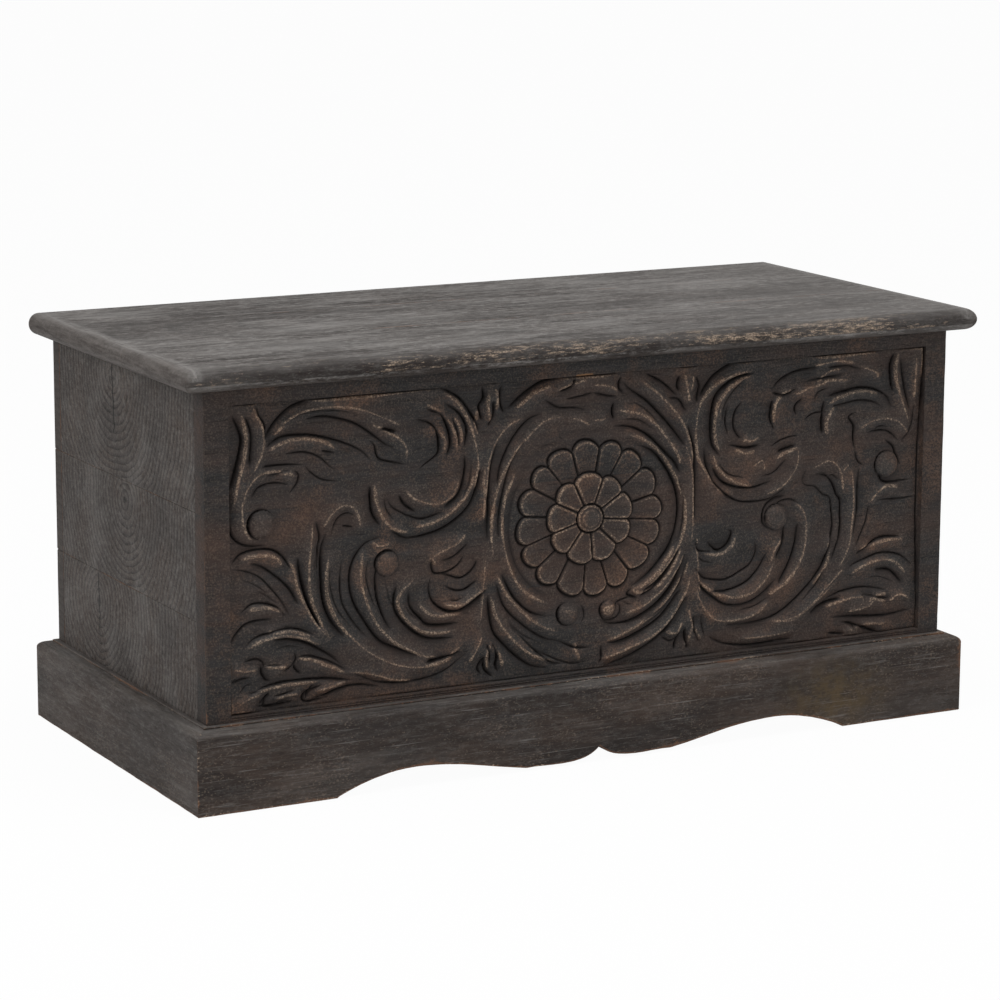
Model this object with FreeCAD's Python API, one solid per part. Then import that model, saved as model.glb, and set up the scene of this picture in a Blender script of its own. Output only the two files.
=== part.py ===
"""Carved chest: a low boarded chest with a relief-carved front, a moulded plinth and a hinged lid.

Millimetres. X runs to the right along the carved front, Y to the back, Z up.
The origin is at the middle of the chest, on the floor that the plinth stands on.
"""
import FreeCAD, Part
import math
import os

Vec = FreeCAD.Vector
UP = Vec(0, 0, 1)
ACROSS = Vec(1, 0, 0)
BACKWARD = Vec(0, 1, 0)

# Driving dimensions of the case
case_width = 850.0
case_depth = 390.0
case_top = 411.0
case_bottom = 32.0
front_thick = 22.0
side_thick = 18.0
back_thick = 18.0
side_joint_low = 183.0
side_joint_high = 290.0

# Lid
lid_thick = 23.0
lid_side_overhang = 26.0
lid_front_overhang = 18.0
lid_joint_front = -55.0
lid_joint_back = 85.0
lid_back_arris = 3.0
lid_seat_gap = 0.3

# Plinth
plinth_height = 85.0
plinth_thick = 18.0
plinth_face_top = 75.5
plinth_ledge = 5.0
plinth_quirk = 2.0

# Floor and its cleats
floor_thick = 12.0
floor_gap = 0.5
cleat_width = 20.0
cleat_height = 22.0

# Corner blocks and dowels
block_leg = 26.0
block_bottom = 3.0
dowel_radius = 4.0
dowel_length = 34.0
dowel_in_front = 12.0
dowel_hole_spare = 1.0
dowel_fit = 0.08

# Lid battens
batten_width = 36.0
batten_thick = 16.0
batten_end_gap = 16.0
batten_from_middle = 290.0
batten_bevel = 5.0

# Wood screws: one size for the cleats and battens, a smaller one for the metalwork
screw_radius = 2.2
screw_head_radius = 4.2
screw_head_depth = 2.6
cleat_screw_length = 32.0
batten_screw_length = 30.0
small_screw_radius = 1.6
small_screw_head_radius = 3.1
small_screw_head_depth = 1.6
small_screw_length = 13.0
screw_fit = 0.08

# Flat sides that pegs, screws and turned metal are drawn with
peg_flat_count = 6
screw_flat_count = 6
turned_flat_count = 12

# Butt hinges
hinge_length = 64.0
hinge_from_middle = 250.0
hinge_leaf_thick = 2.0
hinge_leaf_reach = 14.0
hinge_pin_radius = 2.0
hinge_pin_head = 1.2
hinge_knuckle_wall = 2.0
hinge_knuckle_count = 3
hinge_knuckle_gap = 0.3
hinge_back_gap = 0.5
hinge_bore_fit = 0.1
hinge_recess_fit = 0.1

# Lid stay
stay_arm = 110.0
stay_pivot_drop = 15.0
stay_stud_angle = 33.0
stay_open_angle = 95.0
stay_bar_thick = 2.5
stay_bar_width = 15.0
stay_stud_radius = 3.0
stay_stud_head_radius = 6.0
stay_stud_head_thick = 1.5
stay_stud_tail_radius = 2.2
stay_stud_tail_length = 12.0
stay_collar_radius = 5.5
stay_collar_length = 3.2
stay_rivet_radius = 2.5
stay_rivet_head_radius = 4.5
stay_rivet_head_thick = 1.4
stay_fit = 0.15
stay_play = 0.3
stay_ear_radius = 8.0
stay_flange_length = 56.0
stay_flange_width = 17.0

# Carved field of the front
field_side_border = 26.0
field_top_border = 16.0
field_bottom_border = 6.0
carve_depth = 10.0
relief_root = 1.0
rosette_outer_radius = 82.0
rosette_inner_radius = 48.0
rosette_boss_radius = 14.5
rosette_outer_petals = 16
rosette_inner_petals = 9
lobe_cut_count = 3
petal_cut_count = 4
ball_flat_count = 10

# Overrun that every cut takes past the face that it leaves
overrun = 2.0

# Places worked out from the sizes above
half_width = case_width / 2
half_depth = case_depth / 2
front_inner = -half_depth + front_thick
back_inner = half_depth - back_thick
side_inner = half_width - side_thick
lid_bottom = case_top + lid_seat_gap
lid_top = lid_bottom + lid_thick
plinth_half_width = half_width + plinth_thick
plinth_half_depth = half_depth + plinth_thick
knuckle_radius = hinge_pin_radius + hinge_knuckle_wall
hinge_y = half_depth + hinge_back_gap + knuckle_radius
hinge_z = case_top + lid_seat_gap / 2
field_half_width = half_width - field_side_border
field_bottom = plinth_height + field_bottom_border
field_height = case_top - field_top_border - field_bottom
ground_y = -half_depth + carve_depth
floor_bottom = case_bottom + cleat_height
floor_top = floor_bottom + floor_thick
board_levels = (case_bottom, side_joint_low, side_joint_high, case_top)

# Apron of the front plinth board, from the middle to the right foot.
# Each row: share of the plinth's half width, share of its height.
APRON_LOBE_SHARES = ((0.0, 0.19), (0.03, 0.085), (0.07, 0.04), (0.12, 0.035), (0.19, 0.04))
APRON_ARCH_SHARES = ((0.19, 0.04), (0.27, 0.115), (0.36, 0.2), (0.45, 0.245), (0.54, 0.215),
                     (0.61, 0.12), (0.66, 0.02))
APRON_FOOT_SHARE = 0.665

# Relief forms of one half of the front, mirrored on the other.
# A lobe: three points of its middle line, three half widths, the height of its crest.
# Points are shares of the field's half width from its middle and of its height from its
# bottom; half widths are shares of the field's height; crests are shares of the carved depth.
LOBE_SHARES = (
    # Upright corner leaf and the stem under it
    ((0.970, 0.975), (0.953, 0.865), (0.975, 0.755), (0.018, 0.020, 0.018), 0.80),
    ((0.938, 0.965), (0.921, 0.890), (0.945, 0.790), (0.016, 0.022, 0.016), 0.95),
    ((0.978, 0.740), (0.980, 0.620), (0.925, 0.553), (0.022, 0.024, 0.012), 0.90),
    ((0.955, 0.660), (0.912, 0.752), (0.838, 0.745), (0.016, 0.020, 0.014), 0.85),
    # Fan of lobes that sweeps to the right under the top border
    ((0.885, 0.915), (0.745, 0.968), (0.540, 0.885), (0.014, 0.032, 0.006), 0.95),
    ((0.885, 0.880), (0.740, 0.908), (0.625, 0.830), (0.012, 0.024, 0.012), 0.85),
    ((0.895, 0.800), (0.820, 0.808), (0.722, 0.745), (0.012, 0.022, 0.016), 0.75),
    ((0.610, 0.885), (0.545, 0.845), (0.522, 0.775), (0.012, 0.020, 0.014), 0.80),
    # Spikes and the hooked leaf that rise in the middle of the scroll
    ((0.776, 0.600), (0.786, 0.430), (0.735, 0.235), (0.008, 0.018, 0.010), 0.95),
    ((0.842, 0.480), (0.812, 0.340), (0.725, 0.195), (0.008, 0.016, 0.010), 0.80),
    ((0.748, 0.560), (0.705, 0.622), (0.660, 0.585), (0.016, 0.022, 0.014), 0.90),
    ((0.728, 0.530), (0.722, 0.380), (0.640, 0.215), (0.022, 0.034, 0.020), 0.80),
    # Leaf sprays of the lower corner
    ((0.965, 0.505), (0.880, 0.475), (0.800, 0.320), (0.014, 0.024, 0.012), 0.90),
    ((0.945, 0.330), (0.895, 0.328), (0.830, 0.280), (0.012, 0.020, 0.010), 0.75),
    ((0.955, 0.215), (0.860, 0.250), (0.735, 0.170), (0.008, 0.014, 0.010), 0.90),
    ((0.910, 0.145), (0.850, 0.138), (0.790, 0.118), (0.014, 0.020, 0.012), 0.80),
    ((0.820, 0.150), (0.755, 0.135), (0.690, 0.102), (0.014, 0.020, 0.012), 0.85),
    ((0.975, 0.065), (0.945, 0.098), (0.885, 0.105), (0.014, 0.022, 0.010), 0.75),
    ((0.945, 0.050), (0.850, 0.075), (0.700, 0.060), (0.008, 0.014, 0.012), 0.85),
    # Broad stem along the bottom, which feeds both spirals
    ((0.745, 0.260), (0.640, 0.130), (0.490, 0.068), (0.014, 0.030, 0.026), 0.90),
    ((0.490, 0.068), (0.410, 0.085), (0.345, 0.180), (0.026, 0.026, 0.018), 0.85),
    ((0.345, 0.180), (0.318, 0.270), (0.302, 0.400), (0.018, 0.020, 0.014), 0.80),
    # Lower spiral
    ((0.570, 0.518), (0.652, 0.425), (0.612, 0.255), (0.014, 0.030, 0.024), 0.95),
    ((0.612, 0.255), (0.545, 0.155), (0.430, 0.125), (0.024, 0.022, 0.010), 0.90),
    ((0.505, 0.375), (0.548, 0.305), (0.510, 0.225), (0.010, 0.020, 0.016), 0.90),
    ((0.510, 0.225), (0.460, 0.190), (0.395, 0.195), (0.016, 0.016, 0.010), 0.85),
    # Hooked leaves beside the oval
    ((0.448, 0.430), (0.415, 0.425), (0.365, 0.475), (0.016, 0.024, 0.010), 0.80),
    ((0.435, 0.340), (0.405, 0.285), (0.335, 0.325), (0.018, 0.024, 0.012), 0.90),
    # Upper spiral
    ((0.530, 0.955), (0.392, 0.880), (0.352, 0.720), (0.014, 0.030, 0.026), 0.95),
    ((0.352, 0.720), (0.392, 0.600), (0.490, 0.560), (0.026, 0.028, 0.028), 0.95),
    ((0.490, 0.560), (0.570, 0.600), (0.605, 0.690), (0.028, 0.024, 0.006), 0.90),
    ((0.375, 0.700), (0.420, 0.625), (0.525, 0.660), (0.012, 0.018, 0.008), 0.80),
    # Bands of the oval round the rosette
    ((0.100, 0.855), (0.272, 0.640), (0.275, 0.380), (0.012, 0.022, 0.014), 0.95),
    ((0.200, 0.765), (0.250, 0.520), (0.140, 0.250), (0.010, 0.014, 0.008), 0.85),
    ((0.235, 0.880), (0.302, 0.740), (0.305, 0.520), (0.014, 0.016, 0.012), 0.85),
    ((0.292, 0.320), (0.258, 0.170), (0.150, 0.060), (0.012, 0.018, 0.010), 0.90),
    ((0.275, 0.350), (0.208, 0.215), (0.095, 0.145), (0.012, 0.016, 0.010), 0.95),
    ((0.255, 0.220), (0.180, 0.115), (0.050, 0.055), (0.010, 0.020, 0.020), 0.75),
    # Leaf tips that close the oval at the top
    ((0.235, 0.905), (0.160, 0.960), (0.035, 0.965), (0.010, 0.022, 0.016), 0.90),
    ((0.150, 0.800), (0.085, 0.835), (0.020, 0.822), (0.010, 0.018, 0.010), 0.80),
    # Buds above and below the waist of the scrolls
    ((0.290, 0.870), (0.286, 0.930), (0.290, 0.975), (0.010, 0.026, 0.014), 0.85),
    ((0.292, 0.130), (0.286, 0.075), (0.282, 0.035), (0.010, 0.024, 0.018), 0.85),
)

# Balls that end the scrolls: middle point, radius, crest, as shares like those above
BALL_SHARES = (
    ((0.906, 0.608), 0.046, 0.90),
    ((0.574, 0.440), 0.042, 0.85),
    ((0.062, 0.195), 0.036, 0.85),
)

# Broad low webs between the lobes: closed outlines, then the height of the face
WEB_SHARES = (
    (((0.93, 0.70), (0.82, 0.73), (0.66, 0.76), (0.60, 0.68), (0.66, 0.55), (0.76, 0.45),
      (0.86, 0.53)), 0.40),
    (((0.52, 0.90), (0.42, 0.86), (0.40, 0.74), (0.46, 0.64), (0.56, 0.68), (0.58, 0.80)), 0.40),
    (((0.98, 0.44), (0.86, 0.40), (0.74, 0.22), (0.62, 0.08), (0.78, 0.04), (0.97, 0.10)), 0.35),
    (((0.60, 0.40), (0.48, 0.42), (0.37, 0.40), (0.40, 0.18), (0.54, 0.16), (0.62, 0.28)), 0.38),
)

crest_width_share = 0.3
petal_crest_share = 0.78
petal_root_share = 0.9
petal_inner_crest_share = 0.9
petal_outer_crest_share = 0.75
boss_height_share = 0.93
outer_petal_turn_share = 0.5
rosette_height_share = 0.51

# Steps of a carved ball from the ground to its top: shares of its radius and of its height
BALL_STEP_SHARES = ((1.0, 0.0), (0.88, 0.55), (0.45, 1.0))


def box_between(x0, x1, y0, y1, z0, z1):
    return Part.makeBox(x1 - x0, y1 - y0, z1 - z0, Vec(x0, y0, z0))


def ring(radius, flats, start, direction):
    """A regular outline round start and square to direction, with its corners on the radius."""
    side = Vec(direction.z, direction.x, direction.y)
    up = direction.cross(side)
    turns = [2 * math.pi * n / flats for n in range(flats)]
    return [start + side * (radius * math.cos(a)) + up * (radius * math.sin(a)) for a in turns]


def rod(radius, length, start, direction, flats=turned_flat_count):
    return face_of(ring(radius, flats, start, direction)).extrude(direction * length)


def faceted(outlines, even_sides=True):
    """A closed solid through outlines of equally many points; sides that aren't flat fold on a diagonal."""
    faces = [face_of(outlines[0]), face_of(outlines[-1])]
    for low, high in zip(outlines, outlines[1:]):
        for n in range(len(low)):
            a, b, c, d = low[n - 1], low[n], high[n], high[n - 1]
            if even_sides:
                faces.append(face_of([a, b, c, d]))
            else:
                faces += [face_of([a, b, c]), face_of([a, c, d])]
    shell = Part.makeShell(faces)
    shell.sewShape()
    solid = Part.makeSolid(shell)
    if solid.Volume < 0:
        solid.reverse()
    return solid


def face_of(points):
    return Part.Face(Part.makePolygon(points + [points[0]]))


def countersunk(start, direction, length, shank, head, head_depth, spare=0.0):
    """A screw's shape: its head's face at start, its shank along direction."""
    sizes = ((head, 0), (shank, head_depth), (shank, length + spare))
    return faceted([ring(radius + spare, screw_flat_count, start + direction * depth, direction)
                    for radius, depth in sizes])


def big_screw(start, direction, length, spare=0.0):
    return countersunk(start, direction, length, screw_radius, screw_head_radius, screw_head_depth, spare)


def small_screw(start, direction, spare=0.0):
    return countersunk(start, direction, small_screw_length, small_screw_radius,
                       small_screw_head_radius, small_screw_head_depth, spare)


def spaced(count, low, high):
    """Places from low to high, both ends included."""
    return [low + (high - low) * n / (count - 1) for n in range(count)]


# Carved front

def field_point(point_share, side, y):
    """A point of the field on one side of its middle: side is 1 on the right, -1 on the left."""
    return Vec(side * point_share[0] * field_half_width, y, field_bottom + point_share[1] * field_height)


def lobe_outline(points, halves, y):
    """A closed outline of chisel-wide straight cuts round a bowed middle line, pointed at both ends."""
    first, middle, last = [Vec(p.x, y, p.z) for p in points]
    bow = middle * 2 - (first + last) * 0.5
    left = []
    right = []
    for n in range(lobe_cut_count + 1):
        t = n / lobe_cut_count
        spot = first * ((1 - t) ** 2) + bow * (2 * t * (1 - t)) + last * (t ** 2)
        way = ((bow - first) * (1 - t) + (last - bow) * t).normalize()
        swell = 4 * t * (1 - t)
        half = halves[0] * (1 - t) + halves[2] * t + swell * (halves[1] - (halves[0] + halves[2]) / 2)
        left.append(spot + BACKWARD.cross(way) * half)
        right.append(spot - BACKWARD.cross(way) * half)
        if n == 0:
            tail = spot - way * half
        nose = spot + way * half
    return [tail] + left + [nose] + right[::-1]


def lobe(row_share, side):
    """One carved lobe: steep sides that rise from the ground to a narrow crest."""
    first, middle, last, halves_share, crest_share = row_share
    points = [field_point(p, side, ground_y) for p in (first, middle, last)]
    halves = [h * field_height for h in halves_share]
    crest = [h * crest_width_share for h in halves]
    low = lobe_outline(points, halves, ground_y + relief_root)
    high = lobe_outline(points, crest, ground_y - crest_share * carve_depth)
    return faceted([low, high], even_sides=False)


def carved_ball(centre, radius, height):
    """A round boss cut in flats, which steps in from the ground to its top."""
    foot = centre + BACKWARD * relief_root
    return faceted([ring(radius * across_share, ball_flat_count,
                         foot - BACKWARD * (height + relief_root) * up_share, -BACKWARD)
                    for across_share, up_share in BALL_STEP_SHARES])


def web(row_share, side):
    outline_share, height_share = row_share
    points = [field_point(p, side, ground_y + relief_root) for p in outline_share]
    return face_of(points).extrude(-BACKWARD * (relief_root + height_share * carve_depth))


def petal_outline(centre, angle, inner, outer, half_inner, half_outer, y):
    """An outline that points away from the rosette's middle and ends in a round nose of short cuts."""
    out = Vec(math.cos(angle), 0, math.sin(angle))
    side = BACKWARD.cross(out)
    middle = Vec(centre.x, y, centre.z)
    shoulder = middle + out * (outer - half_outer)
    points = [middle + out * inner + side * half_inner]
    for n in range(petal_cut_count + 1):
        turn = math.pi * n / petal_cut_count
        points.append(shoulder + side * (half_outer * math.cos(turn)) + out * (half_outer * math.sin(turn)))
    points.append(middle + out * inner - side * half_inner)
    return points


def petal_ring(centre, count, inner, outer, turn_share, crest_share):
    petals = []
    half_outer = math.pi * (outer + inner) / 2 / count
    half_inner = math.pi * inner / count * petal_root_share
    for n in range(count):
        angle = 2 * math.pi * (n + turn_share) / count
        foot = ground_y + relief_root
        low = petal_outline(centre, angle, inner, outer, half_inner, half_outer, foot)
        shrink = half_outer * (1 - petal_crest_share)
        high = petal_outline(centre, angle, inner + shrink, outer - shrink, half_inner * petal_crest_share,
                             half_outer * petal_crest_share, ground_y - crest_share * carve_depth)
        petals.append(faceted([low, high], even_sides=False))
    return petals


def rosette():
    centre = Vec(0, ground_y, field_bottom + rosette_height_share * field_height)
    pieces = petal_ring(centre, rosette_outer_petals, rosette_inner_radius * petal_root_share,
                        rosette_outer_radius, outer_petal_turn_share, petal_outer_crest_share)
    pieces += petal_ring(centre, rosette_inner_petals, rosette_boss_radius * petal_root_share,
                         rosette_inner_radius, 0, petal_inner_crest_share)
    pieces.append(carved_ball(centre, rosette_boss_radius, carve_depth * boss_height_share))
    return pieces


def front_blank():
    """The front board with its sunk field and the blind holes for its dowels."""
    board = box_between(-half_width, half_width, -half_depth, front_inner, case_bottom, case_top)
    sunk = box_between(-field_half_width, field_half_width, -half_depth - overrun, ground_y,
                       field_bottom, field_bottom + field_height)
    board = board.cut(sunk)
    holes = [dowel(side, z, front_inner, 1, dowel_fit, dowel_hole_spare) for side, z in dowel_places()]
    holes += [big_screw(a, w, cleat_screw_length, screw_fit) for a, w in cleat_screw_places()]
    return board.cut(Part.makeCompound(holes))


def carved_front():
    forms = []
    for side in (-1, 1):
        forms += [web(row, side) for row in WEB_SHARES]
        forms += [lobe(row, side) for row in LOBE_SHARES]
        for middle_share, radius_share, crest_share in BALL_SHARES:
            centre = field_point(middle_share, side, ground_y)
            forms.append(carved_ball(centre, radius_share * field_height, crest_share * carve_depth))
    relief = forms[0].multiFuse(forms[1:] + rosette())
    window = box_between(-field_half_width, field_half_width, -half_depth - overrun, ground_y + relief_root,
                         field_bottom, field_bottom + field_height)
    return front_blank().fuse(relief.common(window))


# Dowels

def dowel_places():
    """Side and height of each dowel: one at the middle of each side board."""
    middles = [(low + high) / 2 for low, high in zip(board_levels, board_levels[1:])]
    return [(side, z) for side in (-1, 1) for z in middles]


def dowel(side, z, joint_y, way, fit=0.0, spare=0.0):
    """A dowel across the joint at joint_y: way is 1 when the side board lies behind the joint."""
    x = side * (half_width - side_thick / 2)
    start = Vec(x, joint_y - way * (dowel_in_front + spare), z)
    return rod(dowel_radius + fit, dowel_length + 2 * spare, start, BACKWARD * way, peg_flat_count)


def dowel_group(joint_y, way):
    return Part.makeCompound([dowel(side, z, joint_y, way) for side, z in dowel_places()])


# Side, back and floor boards

def side_board(side, z0, z1):
    inner, outer = sorted((side * side_inner, side * half_width))
    board = box_between(inner, outer, front_inner, back_inner, z0, z1)
    cuts = [dowel(s, z, front_inner, 1, dowel_fit, dowel_hole_spare) for s, z in dowel_places()]
    cuts += [dowel(s, z, back_inner, -1, dowel_fit, dowel_hole_spare) for s, z in dowel_places()]
    cuts += [big_screw(a, w, cleat_screw_length, screw_fit) for a, w in cleat_screw_places()]
    if side < 0:
        cuts.append(stay_stud_tail(screw_fit))
    return board.cut(Part.makeCompound(cuts))


def back_board(z0, z1):
    board = box_between(-half_width, half_width, back_inner, half_depth, z0, z1)
    cuts = [dowel(s, z, back_inner, -1, dowel_fit, dowel_hole_spare) for s, z in dowel_places()]
    cuts += [big_screw(a, w, cleat_screw_length, screw_fit) for a, w in cleat_screw_places()]
    if z1 == case_top:
        cuts += [hinge_recess(x, -1) for x in hinge_places()]
        cuts += [small_screw(p, -UP, screw_fit) for p in hinge_screw_places(-1)]
    return board.cut(Part.makeCompound(cuts))


def floor_board(y0, y1):
    return box_between(-side_inner + floor_gap, side_inner - floor_gap, y0, y1, floor_bottom, floor_top)


def floor_joints():
    return spaced(4, front_inner + floor_gap, back_inner - floor_gap)


def long_cleat(way):
    """The cleat along the front (way -1) or the back (way 1)."""
    wall = back_inner if way > 0 else front_inner
    y0, y1 = sorted((wall, wall - way * cleat_width))
    bar = box_between(-side_inner, side_inner, y0, y1, case_bottom, floor_bottom)
    cuts = [big_screw(a, w, cleat_screw_length, screw_fit) for a, w in cleat_screw_places()]
    return bar.cut(Part.makeCompound(cuts))


def short_cleat(side):
    x0, x1 = sorted((side * side_inner, side * (side_inner - cleat_width)))
    y0, y1 = front_inner + cleat_width, back_inner - cleat_width
    bar = box_between(x0, x1, y0, y1, case_bottom, floor_bottom)
    cuts = [big_screw(a, w, cleat_screw_length, screw_fit) for a, w in cleat_screw_places()]
    return bar.cut(Part.makeCompound(cuts))


def cleat_screw_places():
    """Start and direction of each screw that holds a cleat to its wall."""
    z = case_bottom + cleat_height / 2
    places = []
    for x in spaced(4, -side_inner + 3 * cleat_width, side_inner - 3 * cleat_width):
        places.append((Vec(x, front_inner + cleat_width, z), -BACKWARD))
        places.append((Vec(x, back_inner - cleat_width, z), BACKWARD))
    for y in spaced(2, front_inner + 3 * cleat_width, back_inner - 3 * cleat_width):
        places.append((Vec(-side_inner + cleat_width, y, z), -ACROSS))
        places.append((Vec(side_inner - cleat_width, y, z), ACROSS))
    return places


# Plinth

def plinth_profile():
    """Section of the plinth board: distance out from the case, then height."""
    lip = plinth_height - plinth_quirk
    bow = math.sqrt(0.5)
    reach = plinth_thick - plinth_ledge
    drop = lip - plinth_face_top
    crown = (plinth_ledge + reach * bow, plinth_face_top + drop * bow)
    return ((0, 0), (plinth_thick, 0), (plinth_thick, plinth_face_top), crown,
            (plinth_ledge, lip), (plinth_ledge, plinth_height), (0, plinth_height))


def plinth_run(corner, outward, along, length):
    """A full-length moulded board: corner is its foot on the case's face."""
    p = [corner + outward * d + UP * z for d, z in plinth_profile()]
    edges = [Part.LineSegment(p[0], p[1]).toShape(), Part.LineSegment(p[1], p[2]).toShape(),
             Part.Arc(p[2], p[3], p[4]).toShape(), Part.LineSegment(p[4], p[5]).toShape(),
             Part.LineSegment(p[5], p[6]).toShape(), Part.LineSegment(p[6], p[0]).toShape()]
    return Part.Face(Part.Wire(edges)).extrude(along * length)


def mitre_prism(inner_half, outer_half, inner_y, outer_y):
    """A prism over the plan of one mitred board that runs along X."""
    plan = face_of([Vec(-inner_half, inner_y, 0), Vec(-outer_half, outer_y, 0),
                    Vec(outer_half, outer_y, 0), Vec(inner_half, inner_y, 0)])
    return plan.extrude(UP * plinth_height)


def long_plinth(way):
    start = Vec(-plinth_half_width, way * half_depth, 0)
    run = plinth_run(start, BACKWARD * way, ACROSS, 2 * plinth_half_width)
    return run.common(mitre_prism(half_width, plinth_half_width, way * half_depth, way * plinth_half_depth))


def short_plinth(side):
    start = Vec(side * half_width, -plinth_half_depth, 0)
    run = plinth_run(start, ACROSS * side, BACKWARD, 2 * plinth_half_depth)
    prism = mitre_prism(half_depth, plinth_half_depth, -half_width, -plinth_half_width)
    prism.rotate(Vec(0, 0, 0), UP, 90 if side > 0 else -90)
    return run.common(prism)


def apron_cutter():
    """The shape cut out of the front plinth board's lower edge."""
    y = -plinth_half_depth - overrun
    edges = []
    for side in (-1, 1):
        for row_share in (APRON_LOBE_SHARES, APRON_ARCH_SHARES):
            points = [Vec(side * u * plinth_half_width, y, v * plinth_height) for u, v in row_share]
            line = Part.BSplineCurve()
            line.interpolate(points)
            edges.append(line.toShape())
        foot_x = side * APRON_FOOT_SHARE * plinth_half_width
        foot_top = Vec(side * APRON_ARCH_SHARES[-1][0] * plinth_half_width, y,
                       APRON_ARCH_SHARES[-1][1] * plinth_height)
        edges.append(Part.LineSegment(foot_top, Vec(foot_x, y, 0)).toShape())
        edges.append(Part.LineSegment(Vec(foot_x, y, 0), Vec(foot_x, y, -overrun)).toShape())
    far = APRON_FOOT_SHARE * plinth_half_width
    edges.append(Part.LineSegment(Vec(-far, y, -overrun), Vec(far, y, -overrun)).toShape())
    wire = Part.Wire(Part.__sortEdges__(edges))
    return Part.Face(wire).extrude(BACKWARD * (plinth_thick + 2 * overrun))


def corner_block(side, way):
    """A three-cornered glue block inside the plinth, under the case."""
    corner = Vec(side * half_width, way * half_depth, block_bottom)
    plan = face_of([corner, corner - ACROSS * side * block_leg, corner - BACKWARD * way * block_leg])
    return plan.extrude(UP * (case_bottom - block_bottom))


# Lid

def lid_section_across():
    """The lid's outline seen from the front: half-round at both ends."""
    front = -half_depth - lid_front_overhang
    end = half_width + lid_side_overhang
    flat = end - lid_thick / 2
    middle = (lid_bottom + lid_top) / 2
    a, b = Vec(-flat, front, lid_bottom), Vec(flat, front, lid_bottom)
    c, d = Vec(flat, front, lid_top), Vec(-flat, front, lid_top)
    right_nose, left_nose = Vec(end, front, middle), Vec(-end, front, middle)
    return Part.Wire([Part.LineSegment(a, b).toShape(), Part.Arc(b, right_nose, c).toShape(),
                      Part.LineSegment(c, d).toShape(), Part.Arc(d, left_nose, a).toShape()])


def lid_section_along():
    """The lid's outline seen from its left end: half-round at the front, a small arris at the back."""
    x = -half_width - lid_side_overhang
    front = -half_depth - lid_front_overhang
    flat = front + lid_thick / 2
    bend = lid_back_arris * (1 - math.sqrt(0.5))
    heel = Vec(x, half_depth, lid_bottom)
    arris_low = Vec(x, half_depth, lid_top - lid_back_arris)
    arris_turn = Vec(x, half_depth - bend, lid_top - bend)
    arris_high = Vec(x, half_depth - lid_back_arris, lid_top)
    top = Vec(x, flat, lid_top)
    nose = Vec(x, front, (lid_bottom + lid_top) / 2)
    under = Vec(x, flat, lid_bottom)
    return Part.Wire([Part.LineSegment(heel, arris_low).toShape(),
                      Part.Arc(arris_low, arris_turn, arris_high).toShape(),
                      Part.LineSegment(arris_high, top).toShape(), Part.Arc(top, nose, under).toShape(),
                      Part.LineSegment(under, heel).toShape()])


def lid_slab():
    """The whole lid: half-round front and side edges that meet on a mitre."""
    across = Part.Face(lid_section_across()).extrude(BACKWARD * (2 * half_depth + lid_front_overhang))
    along = Part.Face(lid_section_along()).extrude(ACROSS * 2 * (half_width + lid_side_overhang))
    return across.common(along)


def lid_board(slab, y0, y1):
    x_end = half_width + lid_side_overhang + overrun
    board = slab.common(box_between(-x_end, x_end, y0, y1, lid_bottom - overrun, lid_top + overrun))
    cuts = [big_screw(p, UP, batten_screw_length, screw_fit) for p in batten_screw_places()]
    cuts += [small_screw(p, UP, screw_fit) for p in hinge_screw_places(1)]
    cuts += [small_screw(p, UP, screw_fit) for p in stay_screw_places()]
    cuts += [hinge_recess(x, 1) for x in hinge_places()]
    return board.cut(Part.makeCompound(cuts))


def batten(side):
    """A bevelled batten across the lid's boards, inside the case when the lid is shut."""
    x0 = side * batten_from_middle - batten_width / 2
    y0 = front_inner + batten_end_gap
    y1 = back_inner - batten_end_gap
    low = lid_bottom - batten_thick
    section = ((y0, lid_bottom), (y0, low + batten_bevel), (y0 + batten_bevel, low),
               (y1 - batten_bevel, low), (y1, low + batten_bevel), (y1, lid_bottom))
    bar = face_of([Vec(x0, y, z) for y, z in section]).extrude(ACROSS * batten_width)
    cuts = [big_screw(p, UP, batten_screw_length, screw_fit) for p in batten_screw_places()]
    return bar.cut(Part.makeCompound(cuts))


def batten_screw_places():
    low = lid_bottom - batten_thick
    y0 = front_inner + batten_end_gap
    y1 = back_inner - batten_end_gap
    inset = batten_width
    rows = (y0 + inset, (lid_joint_front + lid_joint_back) / 2, y1 - inset)
    return [Vec(side * batten_from_middle, y, low) for side in (-1, 1) for y in rows]


# Hinges

def hinge_places():
    return (-hinge_from_middle, hinge_from_middle)


def hinge_recess(x, way):
    """The shallow bed of a leaf: way -1 in the back board's top edge, way 1 under the lid."""
    face = case_top if way < 0 else lid_bottom
    reach = hinge_leaf_reach + hinge_recess_fit
    z0, z1 = sorted((face - way * overrun, face + way * hinge_leaf_thick))
    half = hinge_length / 2 + hinge_recess_fit
    return box_between(x - half, x + half, half_depth - reach, half_depth + overrun, z0, z1)


def knuckle_spans(way):
    """Ends along X of the knuckles of one leaf, measured from the hinge's middle."""
    pitch = hinge_length / hinge_knuckle_count
    first = 0 if way < 0 else 1
    spans = []
    for n in range(first, hinge_knuckle_count, 2):
        spans.append((-hinge_length / 2 + n * pitch + hinge_knuckle_gap / 2,
                      -hinge_length / 2 + (n + 1) * pitch - hinge_knuckle_gap / 2))
    return spans


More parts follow.
